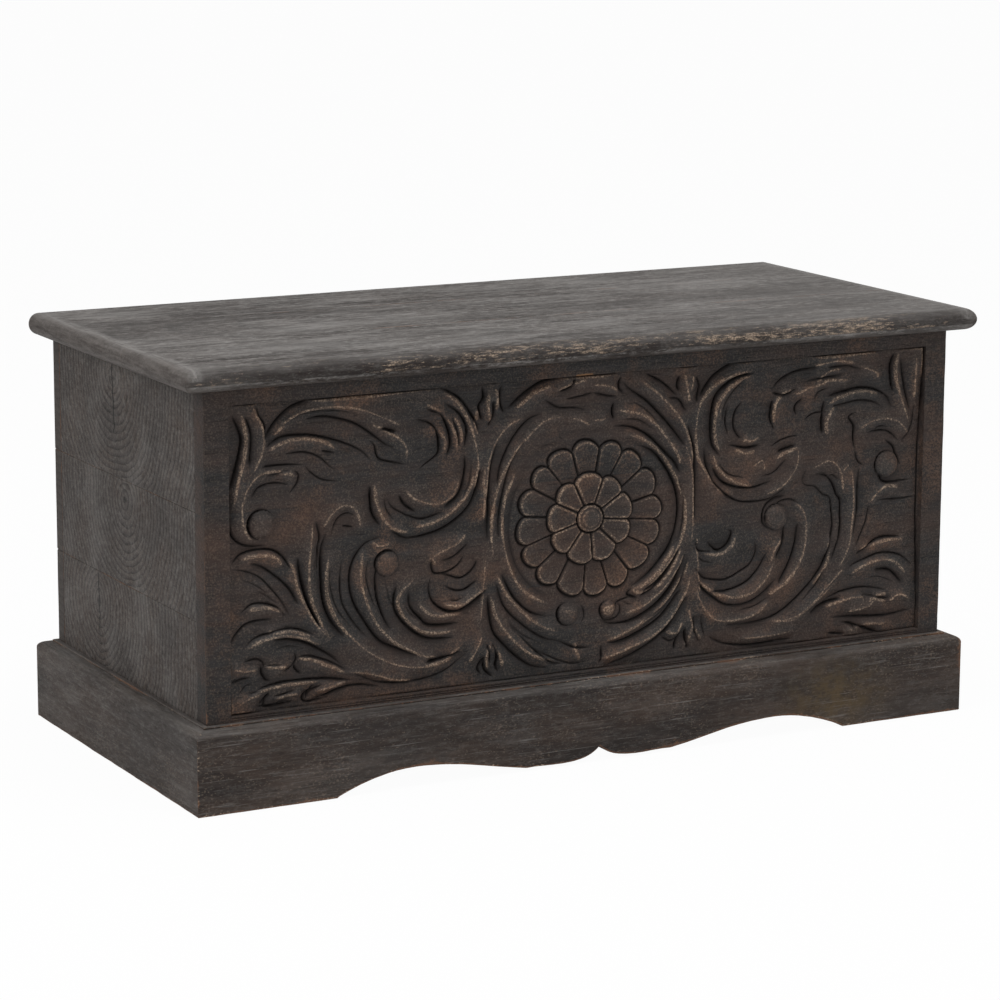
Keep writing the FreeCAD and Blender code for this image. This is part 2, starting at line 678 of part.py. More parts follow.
def hinge_leaf(x, way):
    """Leaf and knuckles: way -1 is fixed to the case, way 1 to the lid."""
    face = case_top if way < 0 else lid_bottom
    z0, z1 = sorted((face, face + way * hinge_leaf_thick))
    half = hinge_length / 2
    plate = box_between(x - half, x + half, half_depth - hinge_leaf_reach, half_depth, z0, z1)
    bore = hinge_pin_radius + (hinge_bore_fit if way > 0 else 0)
    solids = []
    for low, high in knuckle_spans(way):
        solids.append(rod(knuckle_radius, high - low, Vec(x + low, hinge_y, hinge_z), ACROSS))
        solids.append(box_between(x + low, x + high, half_depth, hinge_y, z0, z1))
    leaf = plate.multiFuse(solids)
    bore_start = Vec(x - half - overrun, hinge_y, hinge_z)
    leaf = leaf.cut(rod(bore, hinge_length + 2 * overrun, bore_start, ACROSS))
    holes = [small_screw(p, UP * way, screw_fit) for p in hinge_screw_places(way)]
    return leaf.cut(Part.makeCompound(holes))


def hinge_pin(x):
    half = hinge_length / 2
    pin = rod(hinge_pin_radius, hinge_length, Vec(x - half, hinge_y, hinge_z), ACROSS)
    head = hinge_pin_radius + hinge_pin_head
    ends = [rod(head, hinge_pin_head, Vec(x - half - hinge_pin_head, hinge_y, hinge_z), ACROSS),
            rod(head, hinge_pin_head, Vec(x + half, hinge_y, hinge_z), ACROSS)]
    return pin.multiFuse(ends)


def hinge_screw_places(way):
    """Where the screws of the leaves start: their heads are flush with the leaf's open face."""
    face = case_top if way < 0 else lid_bottom
    y = half_depth - hinge_leaf_reach / 2
    spread = hinge_length / 2 - 3 * small_screw_head_radius
    return [Vec(x + dx, y, face) for x in hinge_places() for dx in (-spread, 0, spread)]


# Lid stay: a slotted bar that turns on the lid's bracket and slides on a stud in the case

def stay_point(angle):
    """A point at the stay's arm length from the hinge axis, angle in degrees below level."""
    a = math.radians(angle)
    return Vec(0, hinge_y - stay_arm * math.cos(a), hinge_z - stay_arm * math.sin(a))


stay_pivot_angle = math.degrees(math.asin(stay_pivot_drop / stay_arm))
stay_spread = stay_stud_angle - stay_pivot_angle
stay_shut_reach = 2 * stay_arm * math.sin(math.radians(stay_spread / 2))
stay_open_reach = 2 * stay_arm * math.sin(math.radians((stay_spread + stay_open_angle) / 2))
stay_bar_x = -side_inner + stay_collar_length
stay_ear_x = stay_bar_x + stay_bar_thick + stay_play


def stay_at(point, x):
    return Vec(x, point.y, point.z)


def flat_slot(start, end, radius, x, thick):
    """A flat bar with round ends between two points, lying in a plane across X."""
    way = (end - start).normalize()
    side = ACROSS.cross(way)
    a = stay_at(start, x) + side * radius
    b = stay_at(end, x) + side * radius
    c = stay_at(end, x) - side * radius
    d = stay_at(start, x) - side * radius
    nose = stay_at(end, x) + way * radius
    tail = stay_at(start, x) - way * radius
    outline = Part.Wire([Part.LineSegment(a, b).toShape(), Part.Arc(b, nose, c).toShape(),
                         Part.LineSegment(c, d).toShape(), Part.Arc(d, tail, a).toShape()])
    return Part.Face(outline).extrude(ACROSS * thick)


def stay_bar():
    pivot = stay_point(stay_pivot_angle)
    stud = stay_point(stay_stud_angle)
    way = (stud - pivot).normalize()
    far = pivot + way * stay_open_reach
    near = pivot + way * stay_shut_reach
    bar = flat_slot(pivot, far + way * (stay_stud_radius + stay_fit), stay_bar_width / 2, stay_bar_x,
                    stay_bar_thick)
    slot = flat_slot(near, far, stay_stud_radius + stay_fit, stay_bar_x - overrun,
                     stay_bar_thick + 2 * overrun)
    hole = rod(stay_rivet_radius + stay_fit, stay_bar_thick + 2 * overrun,
               stay_at(pivot, stay_bar_x - overrun), ACROSS)
    return bar.cut(slot).cut(hole)


def stay_stud_tail(spare=0.0):
    start = stay_at(stay_point(stay_stud_angle), -side_inner)
    return rod(stay_stud_tail_radius + spare, stay_stud_tail_length + spare, start, -ACROSS)


def stay_stud():
    stud = stay_point(stay_stud_angle)
    collar_end = stay_bar_x - stay_play
    head_start = stay_bar_x + stay_bar_thick + stay_play
    collar = rod(stay_collar_radius, collar_end + side_inner, stay_at(stud, -side_inner), ACROSS)
    neck = rod(stay_stud_radius, head_start + side_inner, stay_at(stud, -side_inner), ACROSS)
    head = rod(stay_stud_head_radius, stay_stud_head_thick, stay_at(stud, head_start), ACROSS)
    return stay_stud_tail().multiFuse([collar, neck, head])


def stay_bracket():
    """An angle piece: a flange under the lid and an ear that hangs down to the rivet."""
    pivot = stay_point(stay_pivot_angle)
    top = Vec(0, pivot.y, lid_bottom - stay_bar_thick / 2)
    ear = flat_slot(pivot, top, stay_ear_radius, stay_ear_x, stay_bar_thick)
    ear = ear.common(box_between(stay_ear_x, stay_ear_x + stay_bar_thick, pivot.y - stay_flange_length,
                                 pivot.y + stay_flange_length, pivot.z - stay_flange_length, lid_bottom))
    flange = box_between(stay_ear_x, stay_ear_x + stay_flange_width, pivot.y - stay_flange_length / 2,
                         pivot.y + stay_flange_length / 2, lid_bottom - stay_bar_thick, lid_bottom)
    hole_start = stay_at(pivot, stay_ear_x - overrun)
    hole = rod(stay_rivet_radius, stay_bar_thick + 2 * overrun, hole_start, ACROSS)
    screws = [small_screw(p, UP, screw_fit) for p in stay_screw_places()]
    return ear.fuse(flange).cut(hole).cut(Part.makeCompound(screws))


def stay_rivet():
    pivot = stay_point(stay_pivot_angle)
    start = stay_bar_x - stay_play
    end = stay_ear_x + stay_bar_thick
    shank = rod(stay_rivet_radius, end - start, stay_at(pivot, start), ACROSS)
    heads = [rod(stay_rivet_head_radius, stay_rivet_head_thick,
                 stay_at(pivot, start - stay_rivet_head_thick), ACROSS),
             rod(stay_rivet_head_radius, stay_rivet_head_thick, stay_at(pivot, end), ACROSS)]
    return shank.multiFuse(heads)


def stay_screw_places():
    pivot = stay_point(stay_pivot_angle)
    x = stay_ear_x + (stay_flange_width + stay_bar_thick) / 2
    reach = stay_flange_length / 2 - 3 * small_screw_head_radius
    return [Vec(x, pivot.y + dy, lid_bottom - stay_bar_thick) for dy in (-reach, reach)]


def build():
    nodes = {"carved_front": carved_front()}
    for name, z0, z1 in zip(("lower", "middle", "upper"), board_levels, board_levels[1:]):
        nodes["left_side_" + name] = side_board(-1, z0, z1)
        nodes["right_side_" + name] = side_board(1, z0, z1)
        nodes["back_" + name] = back_board(z0, z1)
    nodes["front_dowels"] = dowel_group(front_inner, 1)
    nodes["back_dowels"] = dowel_group(back_inner, -1)

    joints = floor_joints()
    for name, y0, y1 in zip(("front", "middle", "back"), joints, joints[1:]):
        nodes["floor_board_" + name] = floor_board(y0, y1)
    nodes["floor_cleat_front"] = long_cleat(-1)
    nodes["floor_cleat_back"] = long_cleat(1)
    nodes["floor_cleat_left"] = short_cleat(-1)
    nodes["floor_cleat_right"] = short_cleat(1)
    nodes["cleat_screws"] = Part.makeCompound([big_screw(a, w, cleat_screw_length)
                                               for a, w in cleat_screw_places()])

    nodes["plinth_front"] = long_plinth(-1).cut(apron_cutter())
    nodes["plinth_back"] = long_plinth(1)
    nodes["plinth_left"] = short_plinth(-1)
    nodes["plinth_right"] = short_plinth(1)
    corners = {"front_left": (-1, -1), "front_right": (1, -1), "back_left": (-1, 1), "back_right": (1, 1)}
    for name, (side, way) in corners.items():
        nodes["corner_block_" + name] = corner_block(side, way)

    slab = lid_slab()
    lid_front = -half_depth - lid_front_overhang - overrun
    cuts = (lid_front, lid_joint_front, lid_joint_back, half_depth + overrun)
    for name, y0, y1 in zip(("front", "middle", "back"), cuts, cuts[1:]):
        nodes["lid_board_" + name] = lid_board(slab, y0, y1)
    nodes["lid_batten_left"] = batten(-1)
    nodes["lid_batten_right"] = batten(1)
    nodes["batten_screws"] = Part.makeCompound([big_screw(p, UP, batten_screw_length)
                                                for p in batten_screw_places()])

    for name, x in zip(("left", "right"), hinge_places()):
        nodes["hinge_case_leaf_" + name] = hinge_leaf(x, -1)
        nodes["hinge_lid_leaf_" + name] = hinge_leaf(x, 1)
        nodes["hinge_pin_" + name] = hinge_pin(x)
    nodes["hinge_case_screws"] = Part.makeCompound([small_screw(p, -UP) for p in hinge_screw_places(-1)])
    nodes["hinge_lid_screws"] = Part.makeCompound([small_screw(p, UP) for p in hinge_screw_places(1)])

    nodes["stay_bar"] = stay_bar()
    nodes["stay_stud"] = stay_stud()
    nodes["stay_bracket"] = stay_bracket()
    nodes["stay_rivet"] = stay_rivet()
    nodes["stay_screws"] = Part.makeCompound([small_screw(p, UP) for p in stay_screw_places()])
    return nodes


def main():
    os.makedirs("parts", exist_ok=True)
    for name, shape in build().items():
        if not shape.isValid():
            print("not valid:", name)
        print(name, len(shape.Solids), "solids", round(shape.Volume), "mm3")
        shape.exportStep(os.path.join("parts", name + ".step"))


if __name__ == "__main__":
    main()
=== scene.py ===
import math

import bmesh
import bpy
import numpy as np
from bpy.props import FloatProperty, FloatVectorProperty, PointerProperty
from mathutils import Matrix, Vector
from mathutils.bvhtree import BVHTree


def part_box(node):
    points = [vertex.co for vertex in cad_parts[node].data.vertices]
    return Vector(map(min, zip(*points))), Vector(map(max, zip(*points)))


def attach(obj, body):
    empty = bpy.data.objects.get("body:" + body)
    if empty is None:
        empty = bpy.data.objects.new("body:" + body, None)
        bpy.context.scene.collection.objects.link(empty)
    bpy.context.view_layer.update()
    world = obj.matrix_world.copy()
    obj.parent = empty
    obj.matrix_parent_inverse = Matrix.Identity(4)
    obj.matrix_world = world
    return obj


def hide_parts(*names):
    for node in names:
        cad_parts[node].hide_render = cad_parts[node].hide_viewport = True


bl_info = {
    "name": "Carved chest",
    "version": (1, 0, 0),
    "blender": (4, 5, 0),
    "location": "3D View > Sidebar > Chest",
    "description": "Dresses the frame of an old carved chest: relief, worn boards, lid, plinth and ironwork",
    "category": "Object",
}

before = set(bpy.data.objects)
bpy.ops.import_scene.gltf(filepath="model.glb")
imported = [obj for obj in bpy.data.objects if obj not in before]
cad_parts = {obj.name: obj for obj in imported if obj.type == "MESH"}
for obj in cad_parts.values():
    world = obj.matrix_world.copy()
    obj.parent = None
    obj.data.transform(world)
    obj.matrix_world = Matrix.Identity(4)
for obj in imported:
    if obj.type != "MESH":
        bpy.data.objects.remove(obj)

MM = 0.001
FULL_TURN = 2 * math.pi
# Points nearer than this are one point, in metres; edges bent further than this stay sharp, in degrees
WELD, CREASE = 1e-6, 40
# The distance from an edge, in metres, of what no wear reaches
FAR_AWAY = 1.0

# Places read from the frame, in metres
FRONT_LOW, FRONT_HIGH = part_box("carved_front")
BODY_FACE = FRONT_LOW.y
BODY_HALF = FRONT_HIGH.x
BODY_TOP = FRONT_HIGH.z
PLINTH_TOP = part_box("plinth_front")[1].z
JOINT_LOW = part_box("left_side_lower")[1].z
JOINT_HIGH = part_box("left_side_middle")[1].z

# The carved field: its borders, then the spacing of its points, in metres
FIELD_SIDE, FIELD_TOP, FIELD_FOOT = 26 * MM, 16 * MM, 6 * MM
FIELD_HALF = BODY_HALF - FIELD_SIDE
FIELD_LOW = PLINTH_TOP + FIELD_FOOT
FIELD_HIGH = BODY_TOP - FIELD_TOP
FIELD_STEP = 1 * MM

# The same in millimetres, for the relief
HALF_W = FIELD_HALF / MM
HEIGHT = (FIELD_HIGH - FIELD_LOW) / MM
STEP = FIELD_STEP / MM


def tone(red, green, blue):
    """A colour as it shows on screen, 0 to 255, as the shader's own values."""
    shown = np.array((red, green, blue)) / 255
    straight = np.where(shown <= 0.04045, shown / 12.92, ((shown + 0.055) / 1.055) ** 2.4)
    return tuple(float(c) for c in straight)


def colour_property(label, description, red, green, blue):
    return FloatVectorProperty(name=label, description=description, subtype="COLOR", size=3,
                               min=0, max=1, default=tone(red, green, blue))


def length_property(label, description, millimetres):
    return FloatProperty(name=label, description=description, unit="LENGTH", min=0,
                         default=millimetres * MM)


class ChestSizes(bpy.types.PropertyGroup):
    """Sizes of the finish, in metres"""
    arris: length_property("Arris", "Radius of the worn edges of the case's boards", 1.3)
    lid_arris: length_property("Lid arris", "Radius of the edges where lid boards meet", 0.9)
    plinth_arris: length_property("Plinth arris", "Radius of the plinth's sawn edges", 1.6)
    inner_arris: length_property("Inner arris", "Radius of the edges of the inner boards", 0.7)
    metal_arris: length_property("Metal arris", "Radius of the filed edges of the ironwork", 0.35)
    rub_width: length_property("Rub width", "How far the rubbed finish reaches in from an edge", 5)


class ChestColours(bpy.types.PropertyGroup):
    """Colours of the finish"""
    # Also painted as shade on the carving's lower parts
    stain: colour_property("Stain", "The dark stain where it is whole", 42, 36, 34)
    stain_thin: colour_property("Thin stain", "The stain where it has thinned", 68, 61, 57)
    brown: colour_property("Brown", "Patches where brown shows through the stain", 72, 58, 49)
    sandy: colour_property("Sandy", "The thin patch on the plinth", 92, 76, 52)
    # Also painted as a highlight on the carving's higher parts
    grey: colour_property("Grey", "Stain gone grey on the side and the lid", 104, 98, 94)
    rub: colour_property("Rub", "Brown wood where the stain has rubbed off", 120, 88, 68)
    # Also painted as a highlight along the carving's crests, with their wear
    bare: colour_property("Bare wood", "Pale wood at chips and worn crests", 186, 164, 142)
    speck: colour_property("Speck", "Fine specks where the grain shows through", 128, 114, 101)
    grime_and_shade: colour_property("Grime", "Dirt in cuts and joints", 16, 13, 12)
    # Also painted as shade in the carving's hollows, along with their dirt
    dust: colour_property("Dust", "Grey bloom on what faces up", 142, 139, 136)
    # Also painted as light towards the lid's right end
    inner: colour_property("Inner wood", "Unstained wood inside the case", 126, 94, 66)
    brass: colour_property("Brass", "Old brass of the hinges", 150, 122, 74)
    steel: colour_property("Steel", "Dull steel of the stay and screws", 118, 114, 110)


def sizes():
    return bpy.context.scene.chest_sizes


def colours():
    return bpy.context.scene.chest_colours


# Mesh making

def waves(points, wavelength, seed):
    """A smooth uneven value from -1 to 1 at each point, the same wherever it is asked for."""
    draw = np.random.default_rng(seed)
    total = np.zeros(points.shape[:-1])
    for weight, share in ((0.5, 1.0), (0.3, 0.47), (0.2, 0.21)):
        turn = draw.normal(size=3)
        turn *= FULL_TURN / (wavelength * share * np.linalg.norm(turn))
        other = draw.normal(size=3)
        other *= FULL_TURN / (wavelength * share * 1.6 * np.linalg.norm(other))
        total += weight * np.sin(points @ turn + draw.uniform(0, 6)) * np.cos(points @ other)
    return total


def graded(low, high, edge, spacing):
    """Grid lines from low to high, close together near both ends."""
    near = [0, 0.3, 0.7, 1.0, 1.6, 3.0, 6.0]
    near = [n * edge for n in near if n * edge < (high - low) / 2 - edge]
    start, end = low + near[-1], high - near[-1]
    count = max(2, int(round((end - start) / spacing)) + 1)
    return np.array([low + n for n in near[:-1]] + list(np.linspace(start, end, count))
                    + [high - n for n in reversed(near[:-1])])


class Shell:
    """Collects grids of points and welds them into one mesh."""

    def __init__(self):
        self.points, self.faces, self.layers, self.count = [], [], {}, 0

    def grid(self, points, layers=None, flip=False):
        """Adds a sheet of points in rows and columns, with a value for each point in each layer."""
        rows, columns = points.shape[:2]
        number = self.count + np.arange(rows * columns).reshape(rows, columns)
        quads = np.stack([number[:-1, :-1], number[:-1, 1:], number[1:, 1:], number[1:, :-1]], -1)
        quads = quads.reshape(-1, 4)
        self.faces.extend((quads[:, ::-1] if flip else quads).tolist())
        self.add(points.reshape(-1, 3), {k: v.reshape(-1) for k, v in (layers or {}).items()})
        return number

    def face(self, numbers):
        self.faces.append([int(n) for n in numbers])

    def add(self, points, layers):
        """Adds loose points with their values, and zeros in the layers that they lack."""
        for name in set(self.layers) | set(layers):
            kept = self.layers.setdefault(name, [np.zeros(self.count)])
            kept.append(layers.get(name, np.zeros(len(points))))
        self.points.append(points)
        self.count += len(points)

    def object(self, name, weld=True, seed=0.0):
        """Makes the object, with points in one place joined and the faces turned outwards."""
        mesh = bpy.data.meshes.new(name)
        mesh.from_pydata(np.concatenate(self.points).tolist(), [], self.faces)
        for layer, values in self.layers.items():
            attribute = mesh.attributes.new(layer, "FLOAT", "POINT")
            attribute.data.foreach_set("value", np.concatenate(values).astype(np.float32))
        if weld:
            bm = bmesh.new()
            bm.from_mesh(mesh)
            bmesh.ops.remove_doubles(bm, verts=bm.verts, dist=WELD)
            bmesh.ops.dissolve_degenerate(bm, edges=bm.edges, dist=WELD / 10)
            bmesh.ops.recalc_face_normals(bm, faces=bm.faces)
            bm.to_mesh(mesh)
            bm.free()
        return placed(name, mesh, seed)


def fill_layer(mesh, layer, value):
    """Gives every point of a mesh the same value."""
    data = mesh.attributes.new(layer, "FLOAT", "POINT").data
    data.foreach_set("value", np.full(len(mesh.vertices), value, np.float32))


def placed(name, mesh, seed=0.0):
    """Puts a mesh in the scene, smooth up to the crease angle, with its own draw of the grain."""
    mesh.validate()
    mesh.shade_smooth()
    mesh.set_sharp_from_angle(angle=math.radians(CREASE))
    heart, slope, crack = HEARTS.get(int(seed), ((0.7, 0.05 * math.sin(seed), 0.2), 0.06, 0.0))
    for layer, value in (("seed", seed), ("slope", slope), ("crack", crack)):
        fill_layer(mesh, layer, value)
    place = mesh.attributes.new("heart", "FLOAT_VECTOR", "POINT")
    place.data.foreach_set("vector", np.tile(np.array(heart, np.float32), len(mesh.vertices)))
    made = bpy.data.objects.new(name, mesh)
    bpy.context.scene.collection.objects.link(made)
    return made


def dress(made, body, finish, node):
    """Gives a piece its finish and body, and lets it stand for its CAD node."""
    made.data.materials.clear()
    made.data.materials.append(material(finish))
    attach(made, body)
    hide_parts(node)


def plank(name, low, high, arris, spacing, seed):
    """A board between two corners, its edges rounded unevenly by wear."""
    low, high = np.array(low), np.array(high)
    shell = Shell()
    for axis in range(3):
        a, b = [i for i in range(3) if i != axis]
        lines_a, lines_b = (graded(low[i], high[i], arris, spacing) for i in (a, b))
        for end in (low[axis], high[axis]):
            points = np.empty((len(lines_a), len(lines_b), 3))
            points[..., a] = lines_a[:, None]
            points[..., b] = lines_b[None, :]
            points[..., axis] = end
            rim = np.minimum(np.minimum(points[..., a] - low[a], high[a] - points[..., a]),
                             np.minimum(points[..., b] - low[b], high[b] - points[..., b]))
            radius = arris * (1 + 0.45 * waves(points, 0.11, int(seed * 100) + 5))[..., None]
            core = np.clip(points, low + radius, high - radius)
            away = points - core
            away /= np.maximum(np.linalg.norm(away, axis=-1, keepdims=True), 1e-9)
            shell.grid(core + radius * away, {"rim": rim})
    return shell.object(name, seed=seed)


def softened(name, node, arris, seed=0.0, crease=CREASE):
    """A copy of a CAD node's mesh with its sharp edges eased."""
    bm = bmesh.new()
    bm.from_mesh(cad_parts[node].data)
    bmesh.ops.remove_doubles(bm, verts=bm.verts, dist=WELD)
    bmesh.ops.dissolve_limit(bm, angle_limit=math.radians(1), verts=bm.verts, edges=bm.edges)
    edges = [e for e in bm.edges if e.is_manifold and e.calc_face_angle() > math.radians(crease)]
    bmesh.ops.bevel(bm, geom=edges, offset=arris, offset_type="OFFSET", segments=2, profile=0.5,
                    affect="EDGES", clamp_overlap=True)
    bmesh.ops.recalc_face_normals(bm, faces=bm.faces)
    mesh = bpy.data.meshes.new(name)
    bm.to_mesh(mesh)
    bm.free()
    fill_layer(mesh, "rim", FAR_AWAY)
    made = placed(name, mesh, seed)
    even = made.modifiers.new("even_normals", "WEIGHTED_NORMAL")
    even.keep_sharp = True
    return made


def solids(node):
    """The points of each separate solid in a CAD node."""
    bm = bmesh.new()
    bm.from_mesh(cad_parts[node].data)
    bmesh.ops.remove_doubles(bm, verts=bm.verts, dist=WELD)
    left, found = set(bm.verts), []
    while left:
        todo, group = [left.pop()], []
        while todo:
            vert = todo.pop()
            group.append(np.array(vert.co))
            for edge in vert.link_edges:
                other = edge.other_vert(vert)
                if other in left:
                    left.remove(other)
                    todo.append(other)
        found.append(np.array(group))
    bm.free()
    return sorted(found, key=lambda p: tuple(np.round(p.mean(0), 4)))


# The camera: its place in metres, its yaw, pitch and roll in radians, its focal length in the
# photograph's pixels and its sensor in millimetres
CAMERA_PLACE = (-1.7397, -3.2410, 0.9876)
CAMERA_TURN = (0.4920, 0.2027, 0.0052)
CAMERA_FOCAL_PIXELS = 3563.5
IMAGE_WIDTH = 1000
SENSOR_WIDTH = 36

# The floor: half its width, and the share of plain white in what the camera sees of it
FLOOR_HALF, FLOOR_GLOW = 30, 0.965

# Light: how strong the pale world is, then each soft lamp's place, target, width and watts
WORLD_STRENGTH = 0.33
LAMPS = (("lamp_above", (0.0, -0.6, 2.7), (0.15, 0, 0.3), 1.5, 38.0),
         ("lamp_left", (-3.1, -0.8, 2.0), (0, 0, 0.2), 1.4, 33.5),
         ("lamp_front", (1.6, -3.4, 1.9), (0, 0, 0.25), 1.8, 10.0))

# Growth rings: by the number of a board, where its rings are centred, as along the grain, across it
# and deep, in metres, how fast the rings widen along the grain, and how far a crack runs from them
HEARTS = {
    10: ((-0.4, 0.078, 0.15), 0.1, 0.035),
    11: ((-0.4, 0.005, 0.27), 0.1, 0.004),
    12: ((-0.4, 0.032, 0.39), 0.1, 0.06),
    20: ((0.3, 0.0, 0.43), 0.4, 0.0),
    21: ((0.4, 0.05, 0.43), 0.35, 0.0),
    22: ((0.5, -0.03, 0.43), 0.3, 0.0),
    41: ((-0.5, -0.13, 0.40), 0.14, 0.0),
    42: ((0.16, 0.015, 0.40), 0.28, 0.0),
    43: ((0.5, 0.15, 0.40), 0.12, 0.0),
}

# The middle of the patch on the plinth where its stain is thin
SANDY_PATCH = (0.285, -0.213, 0.035)

# Grooves run along the foot of the front above the plinth: height above it and depth, then half the
# width of each, in millimetres
FOOT_LINES, FOOT_LINE_HALF = ((1.4, 0.9), (3.6, 0.8)), 0.8

# The carving's curves are given where they show on the plane of the front, seen from the camera. Each
# kind lies about this deep, in millimetres, and is moved by these shares of it, to the right and up.
SEEN_DEPTH = {"deep": 6.0, "mid": 4.5, "fine": 3.0, "high": 1.0, "low": 2.0}
SEEN_SHIFT = (0.275, -0.12)

# The relief, in millimetres: the level of the ground, how far a line bends it, the deepest cut, and
# how deep and how wide the field is sunk along its edge
GROUND_DEPTH, REACH, DEEPEST = 4.2, 30.0, 10.5
EDGE_DEPTH, EDGE_WIDTH = 6.5, 2.6
# How many times coarser each grid is that the sheet relaxes on in turn, and the rounds on each
RELAX_STEPS, RELAX_ROUNDS = (4, 2, 1), 120
# The level that each kind of cut or crest draws the ground to, and how hard
CUT_LEVEL = {"deep": 7.2, "mid": 6.0, "fine": 4.8}
CREST_LEVEL = {"high": 1.1, "low": 2.2}
CUT_PULL, CREST_PULL = 1.8, 2.2
# The V of each kind of cut and the lip of each kind of crest: depth or height, and half the width
GOUGE = {"deep": (3.8, 1.4), "mid": (3.2, 1.25), "fine": (2.4, 1.1)}
LIP = {"high": (0.5, 1.1), "low": (0.35, 1.0)}
# A ball's top and the fall of its flank, then its moat: depth, how much deeper in shade, and width
BALL_TOP, BALL_FALL = 1.2, 4.0
MOAT_DEPTH, MOAT_SHADE, MOAT_WIDTH = 5.2, 4.5, 3.0

# The rosette: its middle and how its circles are squashed, then how far its sunk ground reaches and
# how deep that lies
ROSETTE, ROSETTE_SQUASH = (-2.0, 157.0), 1.045
ROSETTE_DISH, ROSETTE_LEVEL = 100.0, 5.0
# Each ring of petals: count, turn share, root, tip, nose, depths at root and tip, dish inside the rim
OUTER_PETALS = (16, 0.28, 40.0, 84.0, 13.0, 4.4, 2.4, 1.0)
INNER_PETALS = (9, 0.15, 10.0, 49.0, 9.0, 3.2, 0.9, 1.0)
# A petal's rim, how soon its dish falls inside that, then the width and depth of its steep edge
PETAL_RIM, PETAL_FALL, PETAL_EDGE, PETAL_STEEP = 1.4, 3.0, 1.8, 3.0
# The radius of the boss and of the groove on it, then the depths of the gaps round petals and boss
BOSS_RADIUS, BOSS_RING = 14.5, 11.0
OUTER_GAP, INNER_GAP, BOSS_GAP = 8.6, 6.8, 6.4
